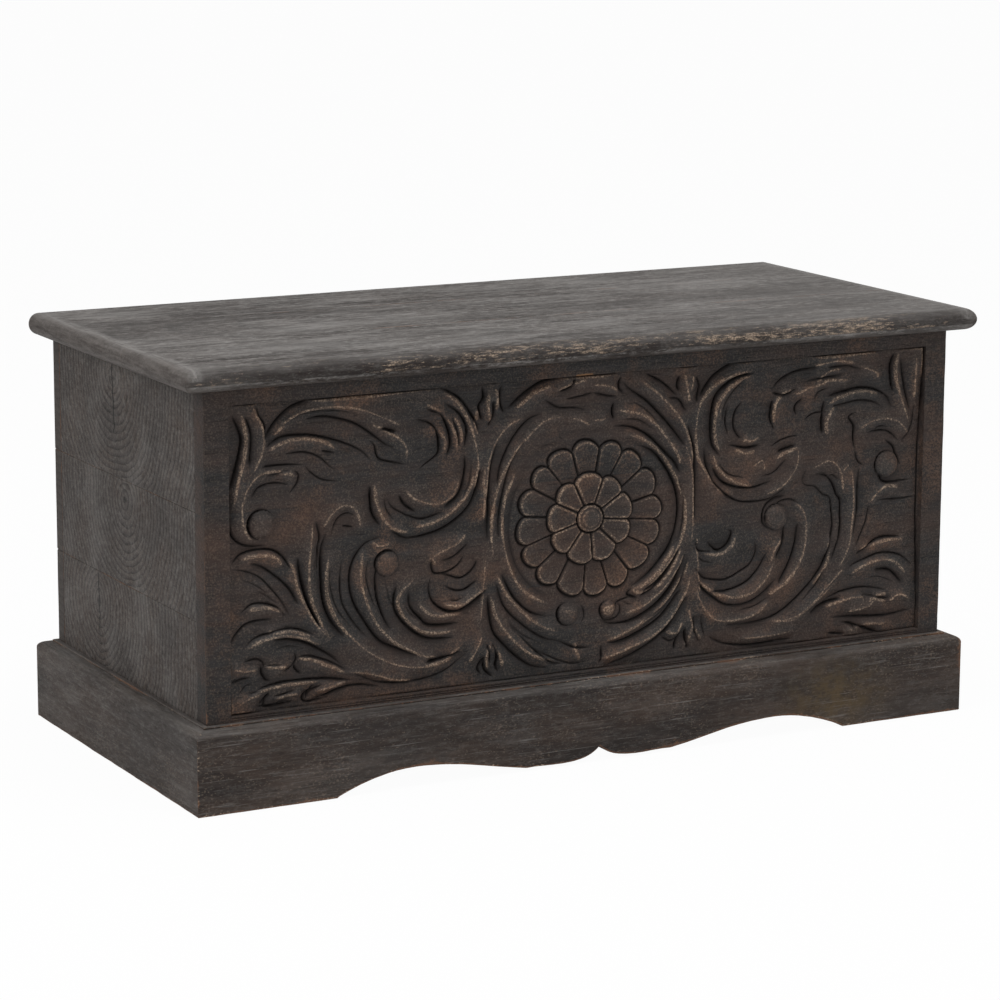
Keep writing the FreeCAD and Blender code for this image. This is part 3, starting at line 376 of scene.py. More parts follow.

# Curves of the carving, read from the photograph: each number is a thousandth, first of the
# field's half width out from its middle, then of its height. Cuts are grouped by how deep the gouge
# went, crests by how far they stand.
LEFT_CUTS = {
    "deep": (
        (990, 970, 967, 900, 970, 850, 985, 780, 1000, 720), (1000, 730, 1000, 620, 985, 570, 950, 545,
        900, 540), (905, 885, 880, 930, 840, 975, 790, 1000), (800, 935, 750, 940, 700, 925, 660, 905, 620,
        870, 580, 830, 560, 820), (900, 860, 860, 885, 800, 885, 760, 875, 720, 860, 680, 840, 640, 810,
        615, 770), (625, 850, 610, 830, 605, 800, 590, 780, 530, 760), (820, 490, 812, 420, 795, 340, 765,
        260), (745, 560, 757, 500, 757, 400, 750, 330, 730, 270, 700, 220), (995, 490, 970, 520, 930, 530,
        890, 525, 860, 500, 840, 460), (945, 490, 910, 470, 870, 430, 840, 390, 820, 340), (1000, 230, 985,
        260, 960, 290, 930, 300, 890, 300), (925, 25, 910, 45, 900, 60), (930, 20, 890, 18, 860, 30), (800,
        25, 795, 45, 780, 70), (790, 20, 750, 30, 710, 45, 660, 50, 600, 35), (600, 530, 640, 510, 670,
        460, 680, 400, 670, 330, 640, 260, 600, 190, 550, 155, 500, 125), (600, 440, 610, 400, 605, 330,
        590, 270, 570, 220), (555, 360, 560, 300, 540, 250, 500, 200, 460, 175, 400, 170), (520, 340, 515,
        290, 490, 250, 460, 220, 380, 215), (470, 100, 420, 105, 380, 120), (460, 440, 452, 400, 440, 388,
        410, 390, 380, 410, 365, 440), (420, 345, 390, 325, 360, 325, 330, 350), (430, 1000, 380, 960, 345,
        900, 330, 850), (500, 905, 460, 885, 440, 850, 435, 810, 440, 780, 470, 755, 490, 740), (470, 935,
        430, 910, 410, 860, 405, 810, 415, 770), (365, 770, 362, 730, 370, 680, 385, 640, 420, 610), (545,
        660, 530, 630, 500, 600), (570, 550, 530, 520, 480, 520, 420, 540, 360, 590, 335, 650, 325, 720),
        (625, 700, 620, 620, 600, 570), (245, 910, 200, 955, 150, 990, 100, 1000), (20, 765, 80, 765, 130,
        745, 175, 710, 210, 660, 232, 600, 240, 530, 237, 460, 220, 390, 190, 330, 150, 285, 110, 260),
        (55, 990, 70, 965, 100, 955), (315, 995, 312, 955, 325, 925, 318, 880), (262, 990, 268, 955, 262,
        920, 255, 900), (268, 30, 275, 60, 272, 90, 285, 130), (315, 30, 325, 55, 310, 90), (887, 233, 843,
        229, 800, 212, 762, 183, 730, 155, 706, 126), (918, 155, 918, 130, 906, 105, 894, 97), (831, 146,
        828, 130, 812, 109), (906, 52, 912, 31, 906, 15, 837, 23), (759, 64, 800, 48, 809, 27, 793, 15,
        737, 23), (950, 64, 906, 81, 862, 89, 812, 89, 749, 85, 706, 76, 674, 68), (300, 294, 293, 229,
        281, 171, 256, 130, 218, 81, 174, 40, 124, 23), (440, 393, 406, 377, 375, 364, 350, 377, 334, 400,
        331, 420), (459, 377, 462, 336, 450, 294, 418, 262, 381, 257, 343, 278, 306, 319), (593, 885, 561,
        868), (312, 89, 306, 48, 281, 15),
    ),
    "mid": (
        (955, 960, 940, 900, 945, 800), (925, 990, 920, 960, 905, 930, 905, 885), (920, 650, 945, 620, 945,
        590, 930, 570), (940, 700, 920, 730, 880, 740, 840, 730), (830, 775, 815, 760, 820, 730, 840, 700),
        (910, 795, 860, 795, 800, 790), (600, 885, 555, 870), (755, 830, 720, 820), (850, 830, 800, 830,
        760, 810, 730, 775, 715, 760), (800, 790, 780, 760, 750, 735, 710, 725), (770, 600, 760, 550, 765,
        520, 768, 440), (700, 580, 670, 572), (700, 470, 705, 400, 700, 330, 670, 260, 630, 200), (1000,
        475, 960, 465, 920, 440, 890, 400, 860, 350, 840, 300), (975, 325, 940, 355, 900, 350, 870, 330,
        850, 300), (960, 220, 930, 245, 880, 260, 830, 260, 780, 235), (965, 170, 930, 175, 910, 155, 920,
        130), (830, 185, 825, 160, 840, 135, 860, 125), (670, 90, 600, 50, 500, 40, 420, 60, 360, 110),
        (430, 430, 400, 435, 370, 460, 355, 480), (580, 655, 560, 620, 520, 590, 480, 575, 430, 590), (365,
        800, 360, 860, 380, 910, 420, 950), (275, 800, 290, 730, 297, 660, 300, 580, 300, 480), (150, 885,
        190, 865, 230, 810, 262, 730, 275, 660), (275, 330, 250, 250, 200, 185, 140, 130, 90, 110), (260,
        360, 225, 280, 180, 225, 130, 200), (300, 860, 285, 900, 286, 940), (300, 130, 293, 90, 290, 60),
        (20, 885, 60, 895, 100, 900, 140, 930), (0, 940, 40, 930, 80, 925), (100, 215, 85, 235, 60, 240,
        30, 225, 20, 190, 30, 160), (0, 75, 50, 85, 100, 115), (20, 30, 60, 30, 110, 55, 160, 90), (825,
        167, 787, 164, 749, 146, 718, 126, 693, 105), (1000, 105, 975, 114, 950, 118), (237, 188, 206, 146,
        162, 89, 112, 40, 61, 31), (99, 803, 68, 774), (149, 774, 124, 778, 93, 762, 61, 757, 30, 786, 0,
        788),
    ),
    "fine": (
        (860, 920, 800, 955, 720, 955, 660, 940), (840, 775, 870, 770, 900, 765), (665, 610, 690, 620, 715,
        600, 730, 550), (735, 440, 730, 370, 710, 300, 670, 235), (630, 460, 635, 400, 620, 330, 600, 280),
        (580, 380, 570, 320, 545, 270), (530, 300, 510, 260, 480, 235), (560, 580, 580, 620, 585, 660),
        (400, 900, 385, 850, 380, 800), (345, 740, 350, 680, 370, 630), (200, 800, 235, 730, 255, 650, 268,
        570, 270, 490), (240, 200, 200, 150, 150, 115), (880, 200, 840, 205, 800, 190), (940, 160, 900,
        150, 860, 145), (930, 400, 900, 375, 870, 345), (970, 440, 930, 415, 890, 375), (410, 300, 390,
        290, 370, 295), (975, 70, 960, 90, 940, 100), (890, 45, 860, 50, 830, 60),
    ),
}
LEFT_CRESTS = {
    "high": (
        (935, 985, 915, 940, 905, 890, 915, 830, 940, 770), (965, 970, 953, 900, 957, 830, 975, 750, 985,
        680), (965, 700, 965, 630, 955, 590, 930, 565), (965, 660, 955, 720, 925, 765, 890, 775, 840, 765,
        825, 750), (880, 890, 840, 935, 790, 960, 730, 968, 660, 955, 600, 925, 530, 880), (620, 900, 560,
        860, 530, 820, 525, 780), (900, 840, 860, 865, 800, 875, 750, 860, 715, 830), (778, 605, 785, 520,
        790, 440, 785, 360, 760, 270, 730, 210), (845, 485, 830, 450, 820, 390, 790, 310, 760, 250, 730,
        210), (750, 580, 730, 620, 700, 645, 670, 635, 655, 600, 650, 570), (735, 490, 742, 420, 740, 350,
        715, 270, 680, 215, 640, 165, 600, 130, 550, 100, 500, 85, 460, 85, 410, 100, 365, 150), (970, 505,
        920, 510, 880, 500, 860, 470), (645, 490, 650, 400, 640, 340, 610, 250, 570, 190, 530, 150, 480,
        120, 440, 110), (500, 385, 540, 340, 550, 300, 530, 250, 490, 205, 440, 190, 400, 190), (490, 290,
        460, 255, 420, 245, 370, 255), (455, 445, 430, 460, 390, 480, 360, 510), (420, 985, 380, 940, 350,
        870, 335, 800, 328, 730, 335, 660), (530, 680, 510, 650, 480, 630, 440, 620, 400, 640, 380, 690),
        (612, 700, 605, 640, 590, 590, 560, 550, 520, 535), (80, 870, 140, 860, 190, 810, 235, 740, 270,
        660, 285, 580, 290, 500, 285, 420, 280, 380), (200, 880, 250, 850, 285, 790, 300, 720, 305, 620),
        (220, 700, 250, 620, 260, 540, 255, 460, 235, 370, 200, 300, 160, 265, 130, 245), (275, 370, 250,
        300, 200, 225, 150, 175, 100, 145), (290, 290, 275, 220, 230, 140, 170, 75, 100, 45), (100, 955,
        60, 975, 20, 985), (220, 910, 170, 955, 120, 975), (60, 860, 35, 850, 10, 830), (330, 830, 335,
        870, 328, 915), (290, 870, 300, 920, 298, 965), (275, 910, 272, 950, 280, 980), (290, 130, 302, 80,
        300, 45), (315, 160, 335, 110, 350, 80), (280, 120, 262, 80, 255, 50), (309, 730, 312, 670, 309,
        610, 312, 550), (950, 336, 906, 340, 875, 331, 853, 315), (906, 257, 850, 257, 812, 245, 784, 229),
        (950, 212, 925, 229, 887, 238, 843, 237, 800, 220, 762, 196), (906, 146, 850, 138), (818, 163, 787,
        155, 749, 130, 718, 114, 693, 97), (937, 68, 875, 79, 812, 81, 762, 79), (418, 278, 375, 274, 337,
        298, 300, 323), (459, 442, 447, 418), (49, 97, 36, 40), (500, 550, 450, 560, 400, 590, 360, 640,
        340, 700),
    ),
    "low": (
        (480, 960, 420, 900, 390, 840, 385, 790), (455, 875, 420, 830, 420, 790), (620, 520, 600, 500, 570,
        505), (990, 150, 960, 140, 930, 140), (980, 30, 950, 50, 920, 55), (880, 35, 850, 45, 820, 45),
        (770, 45, 730, 55, 690, 65), (305, 460, 310, 360, 315, 280, 320, 200), (395, 900, 377, 860, 372,
        810), (224, 171, 193, 130, 162, 89), (687, 97, 624, 81, 561, 52, 500, 35),
    ),
}
RIGHT_CUTS = {
    "deep": (
        (80, 975, 107, 940, 154, 898, 190, 853, 223, 808, 249, 767, 268, 732), (80, 985, 72, 955, 85, 930),
        (59, 900, 55, 870, 60, 845), (59, 822, 112, 812, 159, 780, 191, 742, 217, 708, 239, 680, 254, 642),
        (59, 800, 55, 775, 64, 763), (64, 763, 112, 756, 149, 742, 180, 718, 207, 677, 228, 635, 244, 587,
        252, 531, 249, 476, 239, 427, 223, 386, 196, 344, 165, 303, 128, 271), (245, 905, 200, 955, 150,
        990), (470, 960, 420, 950, 380, 920, 355, 880, 345, 800, 350, 730, 370, 690), (440, 865, 420, 830,
        415, 790, 425, 755, 440, 735), (350, 650, 380, 600, 420, 575, 480, 565, 530, 580), (550, 680, 600,
        695), (570, 550, 530, 520, 470, 515, 420, 530, 360, 590, 335, 650, 325, 720), (530, 900, 560, 930,
        600, 950, 660, 960), (530, 885, 560, 875, 600, 890), (530, 860, 525, 800, 535, 760), (620, 855,
        602, 830, 605, 800), (530, 410, 510, 440, 515, 490, 545, 520, 575, 525), (575, 420, 570, 360, 550,
        310), (615, 420, 610, 350, 590, 280, 560, 220), (520, 330, 500, 280, 460, 235, 400, 215, 350, 220),
        (350, 60, 400, 30, 480, 15, 600, 20), (340, 395, 370, 360, 400, 375, 415, 415, 400, 430), (690,
        840, 685, 780, 685, 730), (790, 790, 770, 775, 785, 745, 785, 700, 790, 660), (905, 985, 895, 940,
        900, 880, 905, 850), (860, 610, 870, 560, 890, 535, 970, 535), (885, 685, 910, 660, 920, 630, 935,
        590), (800, 290, 840, 320, 880, 340, 940, 335), (860, 230, 910, 220, 950, 170), (660, 100, 700,
        130, 750, 140), (730, 75, 800, 70, 900, 60, 980, 70), (760, 55, 800, 40, 870, 5), (720, 20, 770,
        10), (1000, 950, 995, 800, 990, 620, 990, 450, 995, 250, 1000, 80), (250, 970, 245, 940, 250, 920),
        (300, 965, 310, 930, 300, 880), (247, 30, 250, 60, 262, 90), (285, 30, 280, 60, 275, 100), (270,
        360, 240, 270, 190, 200, 120, 155, 60, 150, 20, 170), (45, 90, 70, 85, 120, 100, 200, 150, 260,
        240), (115, 265, 105, 245, 130, 230), (244, 450, 232, 400, 207, 360, 175, 319, 138, 286, 103, 266),
        (635, 605, 628, 572, 641, 552, 669, 544, 694, 515, 716, 500, 722, 459, 726, 400, 716, 344, 707,
        303, 688, 253, 650, 196, 613, 155, 575, 122, 531, 101, 470, 93, 400, 95), (669, 589, 700, 580, 722,
        552, 738, 507, 748, 490, 750, 434, 748, 368, 735, 319, 722, 286), (38, 7, 94, 23, 144, 48, 180, 72,
        220, 113, 250, 163, 276, 212), (769, 52, 794, 44, 798, 23), (813, 40, 850, 15, 875, 3), (700, 855,
        750, 866, 800, 874, 850, 862, 885, 838, 900, 800), (310, 893, 326, 922, 351, 959, 388, 988, 410,
        1000), (485, 385, 490, 340, 475, 300, 450, 280, 400, 255, 350, 262, 326, 275, 305, 305),
    ),
    "mid": (
        (395, 860, 390, 800, 400, 750), (790, 660, 800, 620, 820, 600), (838, 460, 830, 400, 800, 320),
        (780, 250, 830, 270, 880, 285, 940, 270, 990, 220), (700, 140, 760, 165, 830, 170, 900, 150), (805,
        600, 800, 520, 800, 440, 790, 360), (630, 780, 660, 800, 700, 800), (540, 460, 555, 500, 590, 510,
        620, 490), (275, 800, 290, 730, 297, 660, 300, 580, 300, 480), (280, 340, 255, 260, 210, 190, 150,
        145), (225, 320, 180, 260, 140, 235), (70, 235, 40, 235, 25, 200, 40, 165, 75, 170, 85, 200, 70,
        235), (300, 140, 305, 90, 320, 50), (220, 900, 250, 890, 270, 850), (205, 85, 235, 65, 262, 80),
        (925, 970, 935, 900, 945, 840, 960, 780), (935, 670, 965, 720, 975, 800), (0, 940, 40, 925, 70,
        920), (530, 700, 565, 720, 610, 730), (400, 720, 450, 705, 490, 710), (304, 400, 313, 368, 351,
        356), (250, 380, 235, 345, 210, 305, 180, 270, 145, 247), (69, 204, 75, 220, 94, 229, 119, 233),
        (30, 80, 31, 40, 25, 15), (300, 286, 326, 237, 355, 205, 400, 168, 460, 163, 510, 190, 550, 235),
        (715, 820, 750, 824, 795, 831, 840, 823, 875, 800), (870, 475, 940, 471, 1000, 475), (826, 716,
        870, 720, 900, 708, 930, 672),
    ),
    "fine": (
        (450, 945, 410, 900, 385, 850, 380, 790), (370, 660, 400, 620, 450, 600), (500, 600, 540, 610, 575,
        650), (700, 955, 760, 955, 800, 940), (620, 910, 680, 920, 740, 925), (660, 840, 670, 870, 700,
        885), (840, 720, 870, 735, 890, 730), (700, 560, 720, 580, 740, 560), (745, 420, 745, 350, 725,
        280), (700, 250, 670, 190, 630, 140), (850, 205, 890, 195, 930, 170), (820, 145, 870, 130, 910,
        120), (110, 900, 150, 870, 190, 820), (80, 840, 130, 835, 175, 800), (250, 620, 265, 550, 265, 470,
        250, 400), (240, 220, 200, 165, 150, 130), (340, 60, 330, 100, 325, 140), (440, 140, 490, 150, 530,
        175), (120, 205, 100, 215, 90, 230), (313, 344, 332, 327, 357, 319),
    ),
}
RIGHT_CRESTS = {
    "high": (
        (138, 967, 190, 912, 233, 857, 265, 800, 286, 740, 297, 670), (70, 874, 138, 853, 180, 815, 212,
        767, 244, 711, 257, 670), (80, 790, 130, 775, 170, 745, 205, 700, 235, 640, 265, 560, 270, 480,
        262, 420, 240, 360, 200, 300, 160, 260), (270, 740, 290, 640, 295, 540, 293, 440, 285, 380), (470,
        955, 420, 930, 380, 890, 360, 840, 355, 780, 360, 730, 375, 700), (440, 735, 465, 725, 490, 735),
        (420, 700, 450, 685, 480, 690), (470, 635, 500, 655, 510, 620), (540, 650, 570, 675, 605, 685, 610,
        650, 600, 610, 565, 560, 520, 535), (600, 870, 640, 890, 680, 900, 700, 910, 765, 905), (610, 500,
        635, 450, 640, 380, 630, 310, 600, 240, 570, 200), (530, 185, 575, 215, 610, 260), (330, 360, 370,
        345, 410, 365, 425, 400), (540, 90, 600, 85, 640, 110, 700, 165, 745, 220), (800, 950, 845, 925,
        855, 905), (660, 965, 720, 975, 780, 965), (705, 830, 740, 850, 800, 865, 860, 850), (800, 730,
        840, 755, 875, 760, 920, 745, 955, 700), (920, 985, 910, 940, 915, 880, 930, 820, 955, 740), (975,
        970, 972, 900, 970, 820), (660, 610, 700, 630, 730, 615, 745, 580, 755, 520), (775, 610, 785, 520,
        787, 460, 783, 400, 778, 340, 765, 295, 740, 240), (720, 360, 710, 290, 690, 240, 660, 200), (840,
        470, 860, 500, 890, 520, 930, 515), (780, 220, 820, 245, 870, 260, 920, 250, 960, 200), (700, 175,
        730, 215, 760, 250), (900, 110, 860, 120, 840, 100, 780, 90), (975, 110, 940, 130, 910, 110), (115,
        265, 140, 245, 200, 270, 240, 330, 265, 400), (45, 90, 120, 125, 200, 180, 260, 270, 285, 340),
        (30, 30, 100, 55, 180, 90, 240, 150, 280, 240, 290, 310), (265, 975, 272, 930, 280, 880), (290,
        965, 285, 920), (220, 100, 250, 90, 270, 130), (70, 940, 35, 960, 0, 965), (35, 850, 0, 845), (565,
        370, 545, 340, 535, 300), (119, 262, 150, 270, 188, 303, 216, 344, 238, 393), (270, 364, 263, 335,
        244, 303, 219, 262, 188, 229, 157, 204, 125, 188, 100, 180), (769, 253, 738, 220, 707, 188, 682,
        155, 650, 122, 613, 97, 563, 85), (470, 962, 420, 957, 376, 942, 341, 914, 320, 885, 306, 852, 300,
        800, 300, 753, 304, 712, 313, 671, 332, 638, 357, 597, 382, 564, 414, 548), (533, 765, 533, 810,
        540, 850, 565, 877, 600, 885), (699, 720, 697, 760, 707, 795, 720, 815), (744, 575, 757, 600, 770,
        610), (298, 307, 313, 262, 345, 229, 388, 200, 430, 190, 480, 200, 520, 245, 545, 300), (303, 260,
        318, 200, 340, 150, 380, 115, 450, 110, 500, 130, 530, 160), (813, 303, 850, 319, 900, 331, 950,
        329), (285, 170, 294, 130, 307, 97, 313, 72, 326, 56), (838, 113, 863, 130, 900, 138), (707, 118,
        750, 130, 794, 138, 822, 134, 820, 113, 800, 97),
    ),
    "low": (
        (480, 560, 420, 590, 370, 640, 350, 700), (400, 930, 375, 860, 370, 800), (660, 900, 700, 940, 740,
        945), (450, 40, 550, 40, 620, 50), (780, 20, 840, 35, 900, 30), (305, 460, 310, 360, 315, 280, 320,
        200), (300, 110, 290, 70, 280, 40),
    ),
}
# Balls: the middle, out and up, then the radius as a share of the field's height
LEFT_BALLS = (((.910, .607), .046), ((.574, .438), .041), ((.0645, .200), .039))
RIGHT_BALLS = (((.895, .595), .045), ((.555, .45), .044), ((.052, .20), .028))
# Broad areas with a level of their own: closed outlines, then millimetres below the face
LEFT_AREAS = (
    (((.93, 1.0), (.912, .93), (.905, .885), (.86, .94), (.80, 1.0)), 8.0),
    (((.60, .70), (.625, .56), (.66, .53), (.665, .60), (.64, .72)), 5.5),
    (((.54, .92), (.50, .90), (.445, .86), (.445, .79), (.50, .74), (.53, .78), (.54, .84)), 5.0),
    (((.98, .45), (.90, .38), (.86, .33), (.93, .36), (.99, .30)), 6.0),
    (((.98, .20), (.93, .22), (.84, .21), (.86, .17), (.95, .17)), 6.5),
    (((.82, .78), (.66, .80), (.58, .74), (.63, .62), (.76, .65), (.86, .55), (.90, .66), (.83, .71)), 4.2),
    (((.36, .59), (.345, .45), (.34, .30), (.45, .46), (.50, .50)), 5.0),
    (((.345, 1.0), (.33, .90), (.36, .97), (.42, 1.0)), 7.5),
    (((.24, 1.0), (.25, .93), (.19, .98)), 6.5),
    (((.50, .48), (.47, .43), (.47, .36), (.50, .40), (.56, .36), (.55, .41)), 5.0),
)
RIGHT_AREAS = (
    (((.53, .93), (.50, .95), (.46, .89), (.43, .84), (.44, .76), (.50, .74), (.53, .80)), 5.5),
    (((.97, .47), (.90, .44), (.85, .37), (.92, .36), (.99, .32)), 5.0),
    (((.64, .72), (.66, .64), (.64, .55), (.60, .53), (.62, .62)), 4.5),
    (((.80, .80), (.68, .74), (.64, .70), (.66, .64), (.76, .64), (.85, .56), (.86, .66), (.79, .71)), 4.0),
    (((.36, .59), (.345, .45), (.35, .42), (.45, .46), (.50, .50)), 4.5),
    (((.90, 1.0), (.89, .92), (.86, .92), (.82, .97), (.84, 1.0)), 6.5),
    (((.64, .36), (.70, .45), (.68, .30), (.62, .18), (.66, .28)), 5.0),
    (((.345, 1.0), (.335, .92), (.37, .97), (.42, 1.0)), 6.5),
    (((.24, 1.0), (.25, .93), (.19, .98)), 5.5),
)
CARVING = ((-1, LEFT_CUTS, LEFT_CRESTS), (1, RIGHT_CUTS, RIGHT_CRESTS))


def catmull(points, spacing):
    """A smooth line through the points, about one point to each spacing."""
    p = np.array(points, float)
    if len(p) == 2:
        t = np.linspace(0, 1, max(2, int(np.hypot(*(p[1] - p[0])) / spacing)))[:, None]
        return p[0] * (1 - t) + p[1] * t
    p = np.vstack([2 * p[0] - p[1], p, 2 * p[-1] - p[-2]])
    line = []
    for a, b, c, d in zip(p, p[1:], p[2:], p[3:]):
        t = np.linspace(0, 1, max(2, int(np.hypot(*(c - b)) / spacing)), endpoint=False)[:, None]
        line.append(0.5 * (2 * b + (c - a) * t + (2 * a - 5 * b + 4 * c - d) * t * t
                           + (3 * b - a - 3 * c + d) * t ** 3))
    line.append(p[-2:-1])
    return np.vstack(line)


def field_lines(table, side):
    """Each curve of a table on one half of the field, in millimetres, with its kind."""
    lines = []
    for kind, curves in table.items():
        shift = SEEN_DEPTH[kind] * np.array(SEEN_SHIFT)
        for flat in curves:
            points = [(side * u * HALF_W / 1000, v * HEIGHT / 1000) for u, v in zip(flat[::2], flat[1::2])]
            lines.append((kind, catmull(np.array(points) + shift, 0.5)))
    return lines


def taper(count, share, low):
    """From low at a line's ends to 1 along its middle."""
    t = np.linspace(0, 1, count)
    return low + (1 - low) * np.clip(np.minimum(t, 1 - t) / share, 0, 1) ** 0.7


def on_grid(x, z, shape):
    """Which of these columns and rows lie on a grid of this shape."""
    return (x >= 0) & (x < shape[1]) & (z >= 0) & (z < shape[0])


def splat(weights, heights, line, height, weight, step):
    """Spreads a line's heights over the grid's nearest points."""
    fx, fz = (line[:, 0] + HALF_W) / step, line[:, 1] / step
    ix, iz = np.floor(fx).astype(int), np.floor(fz).astype(int)
    for dx in (0, 1):
        for dz in (0, 1):
            share = weight * np.abs(1 - dx - (fx - ix)) * np.abs(1 - dz - (fz - iz))
            x, z = ix + dx, iz + dz
            ok = on_grid(x, z, weights.shape)
            np.add.at(weights, (z[ok], x[ok]), share[ok])
            np.add.at(heights, (z[ok], x[ok]), (share * height)[ok])


def resized(a, shape):
    """A grid redrawn with another number of points between the same corners."""
    z, x = np.linspace(0, a.shape[0] - 1, shape[0]), np.linspace(0, a.shape[1] - 1, shape[1])
    z0 = np.minimum(z.astype(int), a.shape[0] - 2)
    x0 = np.minimum(x.astype(int), a.shape[1] - 2)
    tz, tx = (z - z0)[:, None], (x - x0)[None, :]
    low = a[z0][:, x0] * (1 - tx) + a[z0][:, x0 + 1] * tx
    high = a[z0 + 1][:, x0] * (1 - tx) + a[z0 + 1][:, x0 + 1] * tx
    return low * (1 - tz) + high * tz


def inside(outline, x, z):
    """Which grid points lie inside a closed outline."""
    hit = np.zeros(x.shape, bool)
    for (x0, z0), (x1, z1) in zip(outline, np.roll(outline, -1, 0)):
        crossing = x0 + (z - z0) * (x1 - x0) / (z1 - z0 + 1e-9)
        hit ^= ((z0 > z) != (z1 > z)) & (x < crossing)
    return hit


def blurred(a, sigma):
    """A grid smoothed by a bell curve of this width, in steps of the grid."""
    reach = int(3 * sigma) + 1
    kernel = np.exp(-0.5 * (np.arange(-reach, reach + 1) / sigma) ** 2)
    kernel /= kernel.sum()
    padded = np.pad(a, reach, mode="edge")
    rows = sum(w * padded[i:i + a.shape[0], :] for i, w in enumerate(kernel))
    return sum(w * rows[:, i:i + a.shape[1]] for i, w in enumerate(kernel))


def ground(x, z):
    """The level that the surface relaxes to away from every line."""
    level = np.full(x.shape, -GROUND_DEPTH)
    for side, areas in ((-1, LEFT_AREAS), (1, RIGHT_AREAS)):
        for outline, depth in areas:
            corners = [(side * u * HALF_W, v * HEIGHT) for u, v in outline]
            level[inside(catmull(corners + corners[:1], 3.0), x, z)] = -depth
    return blurred(level, 2.0)


def relaxed(step, start, x, z):
    """The carved surface as a sheet drawn up to the crests and down to the cuts."""
    weights, heights = np.zeros(x.shape), np.zeros(x.shape)
    for side, cuts, crests in CARVING:
        for table, levels, pull in ((cuts, CUT_LEVEL, CUT_PULL), (crests, CREST_LEVEL, CREST_PULL)):
            for kind, line in field_lines(table, side):
                t = taper(len(line), 0.1, 0.3)
                height = -GROUND_DEPTH + (GROUND_DEPTH - levels[kind]) * t
                splat(weights, heights, line, height, pull * t, step)
    level = ground(x, z)
    hold = (step / REACH) ** 2
    h = level.copy() if start is None else start
    for _ in range(RELAX_ROUNDS):
        p = np.pad(h, 1, mode="edge")
        around = p[:-2, 1:-1] + p[2:, 1:-1] + p[1:-1, :-2] + p[1:-1, 2:]
        h = (around + heights + hold * level) / (4 + weights + hold)
    return h


def strokes(shape, number, profiles, power):
    """Height of a narrow stroke along each cut (table 1) or crest (table 2) line."""
    marks = np.zeros(shape)
    for carving in CARVING:
        for kind, line in field_lines(carving[number], carving[0]):
            t = taper(len(line), 0.3, 0.25)
            tall, half = profiles[kind]
            half = half / STEP
            fx, fz = (line[:, 0] + HALF_W) / STEP, line[:, 1] / STEP
            ix, iz = np.round(fx).astype(int), np.round(fz).astype(int)
            reach = int(half) + 1
            for dx in range(-reach, reach + 1):
                for dz in range(-reach, reach + 1):
                    x, z = ix + dx, iz + dz
                    away = np.hypot(x - fx, z - fz) / (half * (0.5 + 0.5 * t))
                    ok = on_grid(x, z, shape)
                    value = tall * t * np.clip(1 - away ** power, 0, 1)
                    np.maximum.at(marks, (z[ok], x[ok]), value[ok])
    return marks


def petals(radius, angle, count, turn, root, tip, nose, low, high, rim):
    """Height of a ring of dished petals, and the distance in from their outline."""
    f = (angle / FULL_TURN * count + turn) % 1.0 - 0.5
    side = (0.5 - np.abs(f)) * FULL_TURN * np.maximum(radius, 1) / count
    end = tip - nose * (1 - np.sqrt(np.clip(1 - (2 * f) ** 2, 0, 1)))
    d = np.minimum(side, end - radius)
    t = np.clip((radius - root) / (tip - root), 0, 1)
    dish = rim * (1 - np.exp(-np.clip(d - PETAL_RIM, 0, None) / PETAL_FALL))
    steep = PETAL_STEEP * np.clip(1 - d / PETAL_EDGE, 0, 1)
    return -(low + (high - low) * t + dish + steep), np.where(radius > root, d, -radius)


def rosette(x, z, h):
    """The flower in the middle: sixteen outer petals, nine inner ones and a ringed boss."""
    dx, dz = x - ROSETTE[0], (z - ROSETTE[1]) * ROSETTE_SQUASH
    radius, angle = np.hypot(dx, dz), np.arctan2(dz, dx)
    angle = angle + 0.03 * np.sin(5 * angle + 1.0) + 0.02 * np.sin(11 * angle)
    sunk = np.clip((ROSETTE_DISH - radius) / 10, 0, 1)
    h = h * (1 - sunk) - ROSETTE_LEVEL * sunk
    top, d = petals(radius, angle, *OUTER_PETALS)
    within = np.clip(d + 0.5, 0, 1)
    h = within * top + (1 - within) * np.minimum(h, -OUTER_GAP + np.clip(-d, 0, None) * 1.1)
    top, d = petals(radius, angle, *INNER_PETALS)
    within, gap = np.clip(d + 0.5, 0, 1), np.clip(d + 2.0, 0, 1)
    h = within * top + (1 - within) * (gap * np.minimum(h, -INNER_GAP) + (1 - gap) * h)
    share = np.clip(radius / BOSS_RADIUS, 0, 1)
    boss = -(0.5 + 2.6 * share ** 2.2) - 0.9 * np.exp(-((radius - BOSS_RING) / 1.0) ** 2)
    round_boss = (radius >= BOSS_RADIUS) & (radius < BOSS_RADIUS + 1.6)
    h = np.where(round_boss, np.minimum(h, -BOSS_GAP), h)
    return np.where(radius < BOSS_RADIUS, boss, h)


def with_balls(x, z, h):
    """Sets the balls into the relief, each in a moat that is deeper on its shaded side."""
    for side, balls in ((-1, LEFT_BALLS), (1, RIGHT_BALLS)):
        for (u, v), size in balls:
            out, up, radius = x - side * u * HALF_W, z - v * HEIGHT, size * HEIGHT
            away = np.hypot(out, up)
            dome = -(BALL_TOP + BALL_FALL * np.clip(away / radius, 0, 1) ** 2.2)
            shade = 0.5 - 0.45 * (out - 0.4 * up) / np.maximum(away, 1)
            moat = np.minimum(h, -MOAT_DEPTH - MOAT_SHADE * shade + (away - radius) * 1.6)
            h = np.where(away < radius, dome, np.where(away < radius + MOAT_WIDTH, moat, h))
    return h


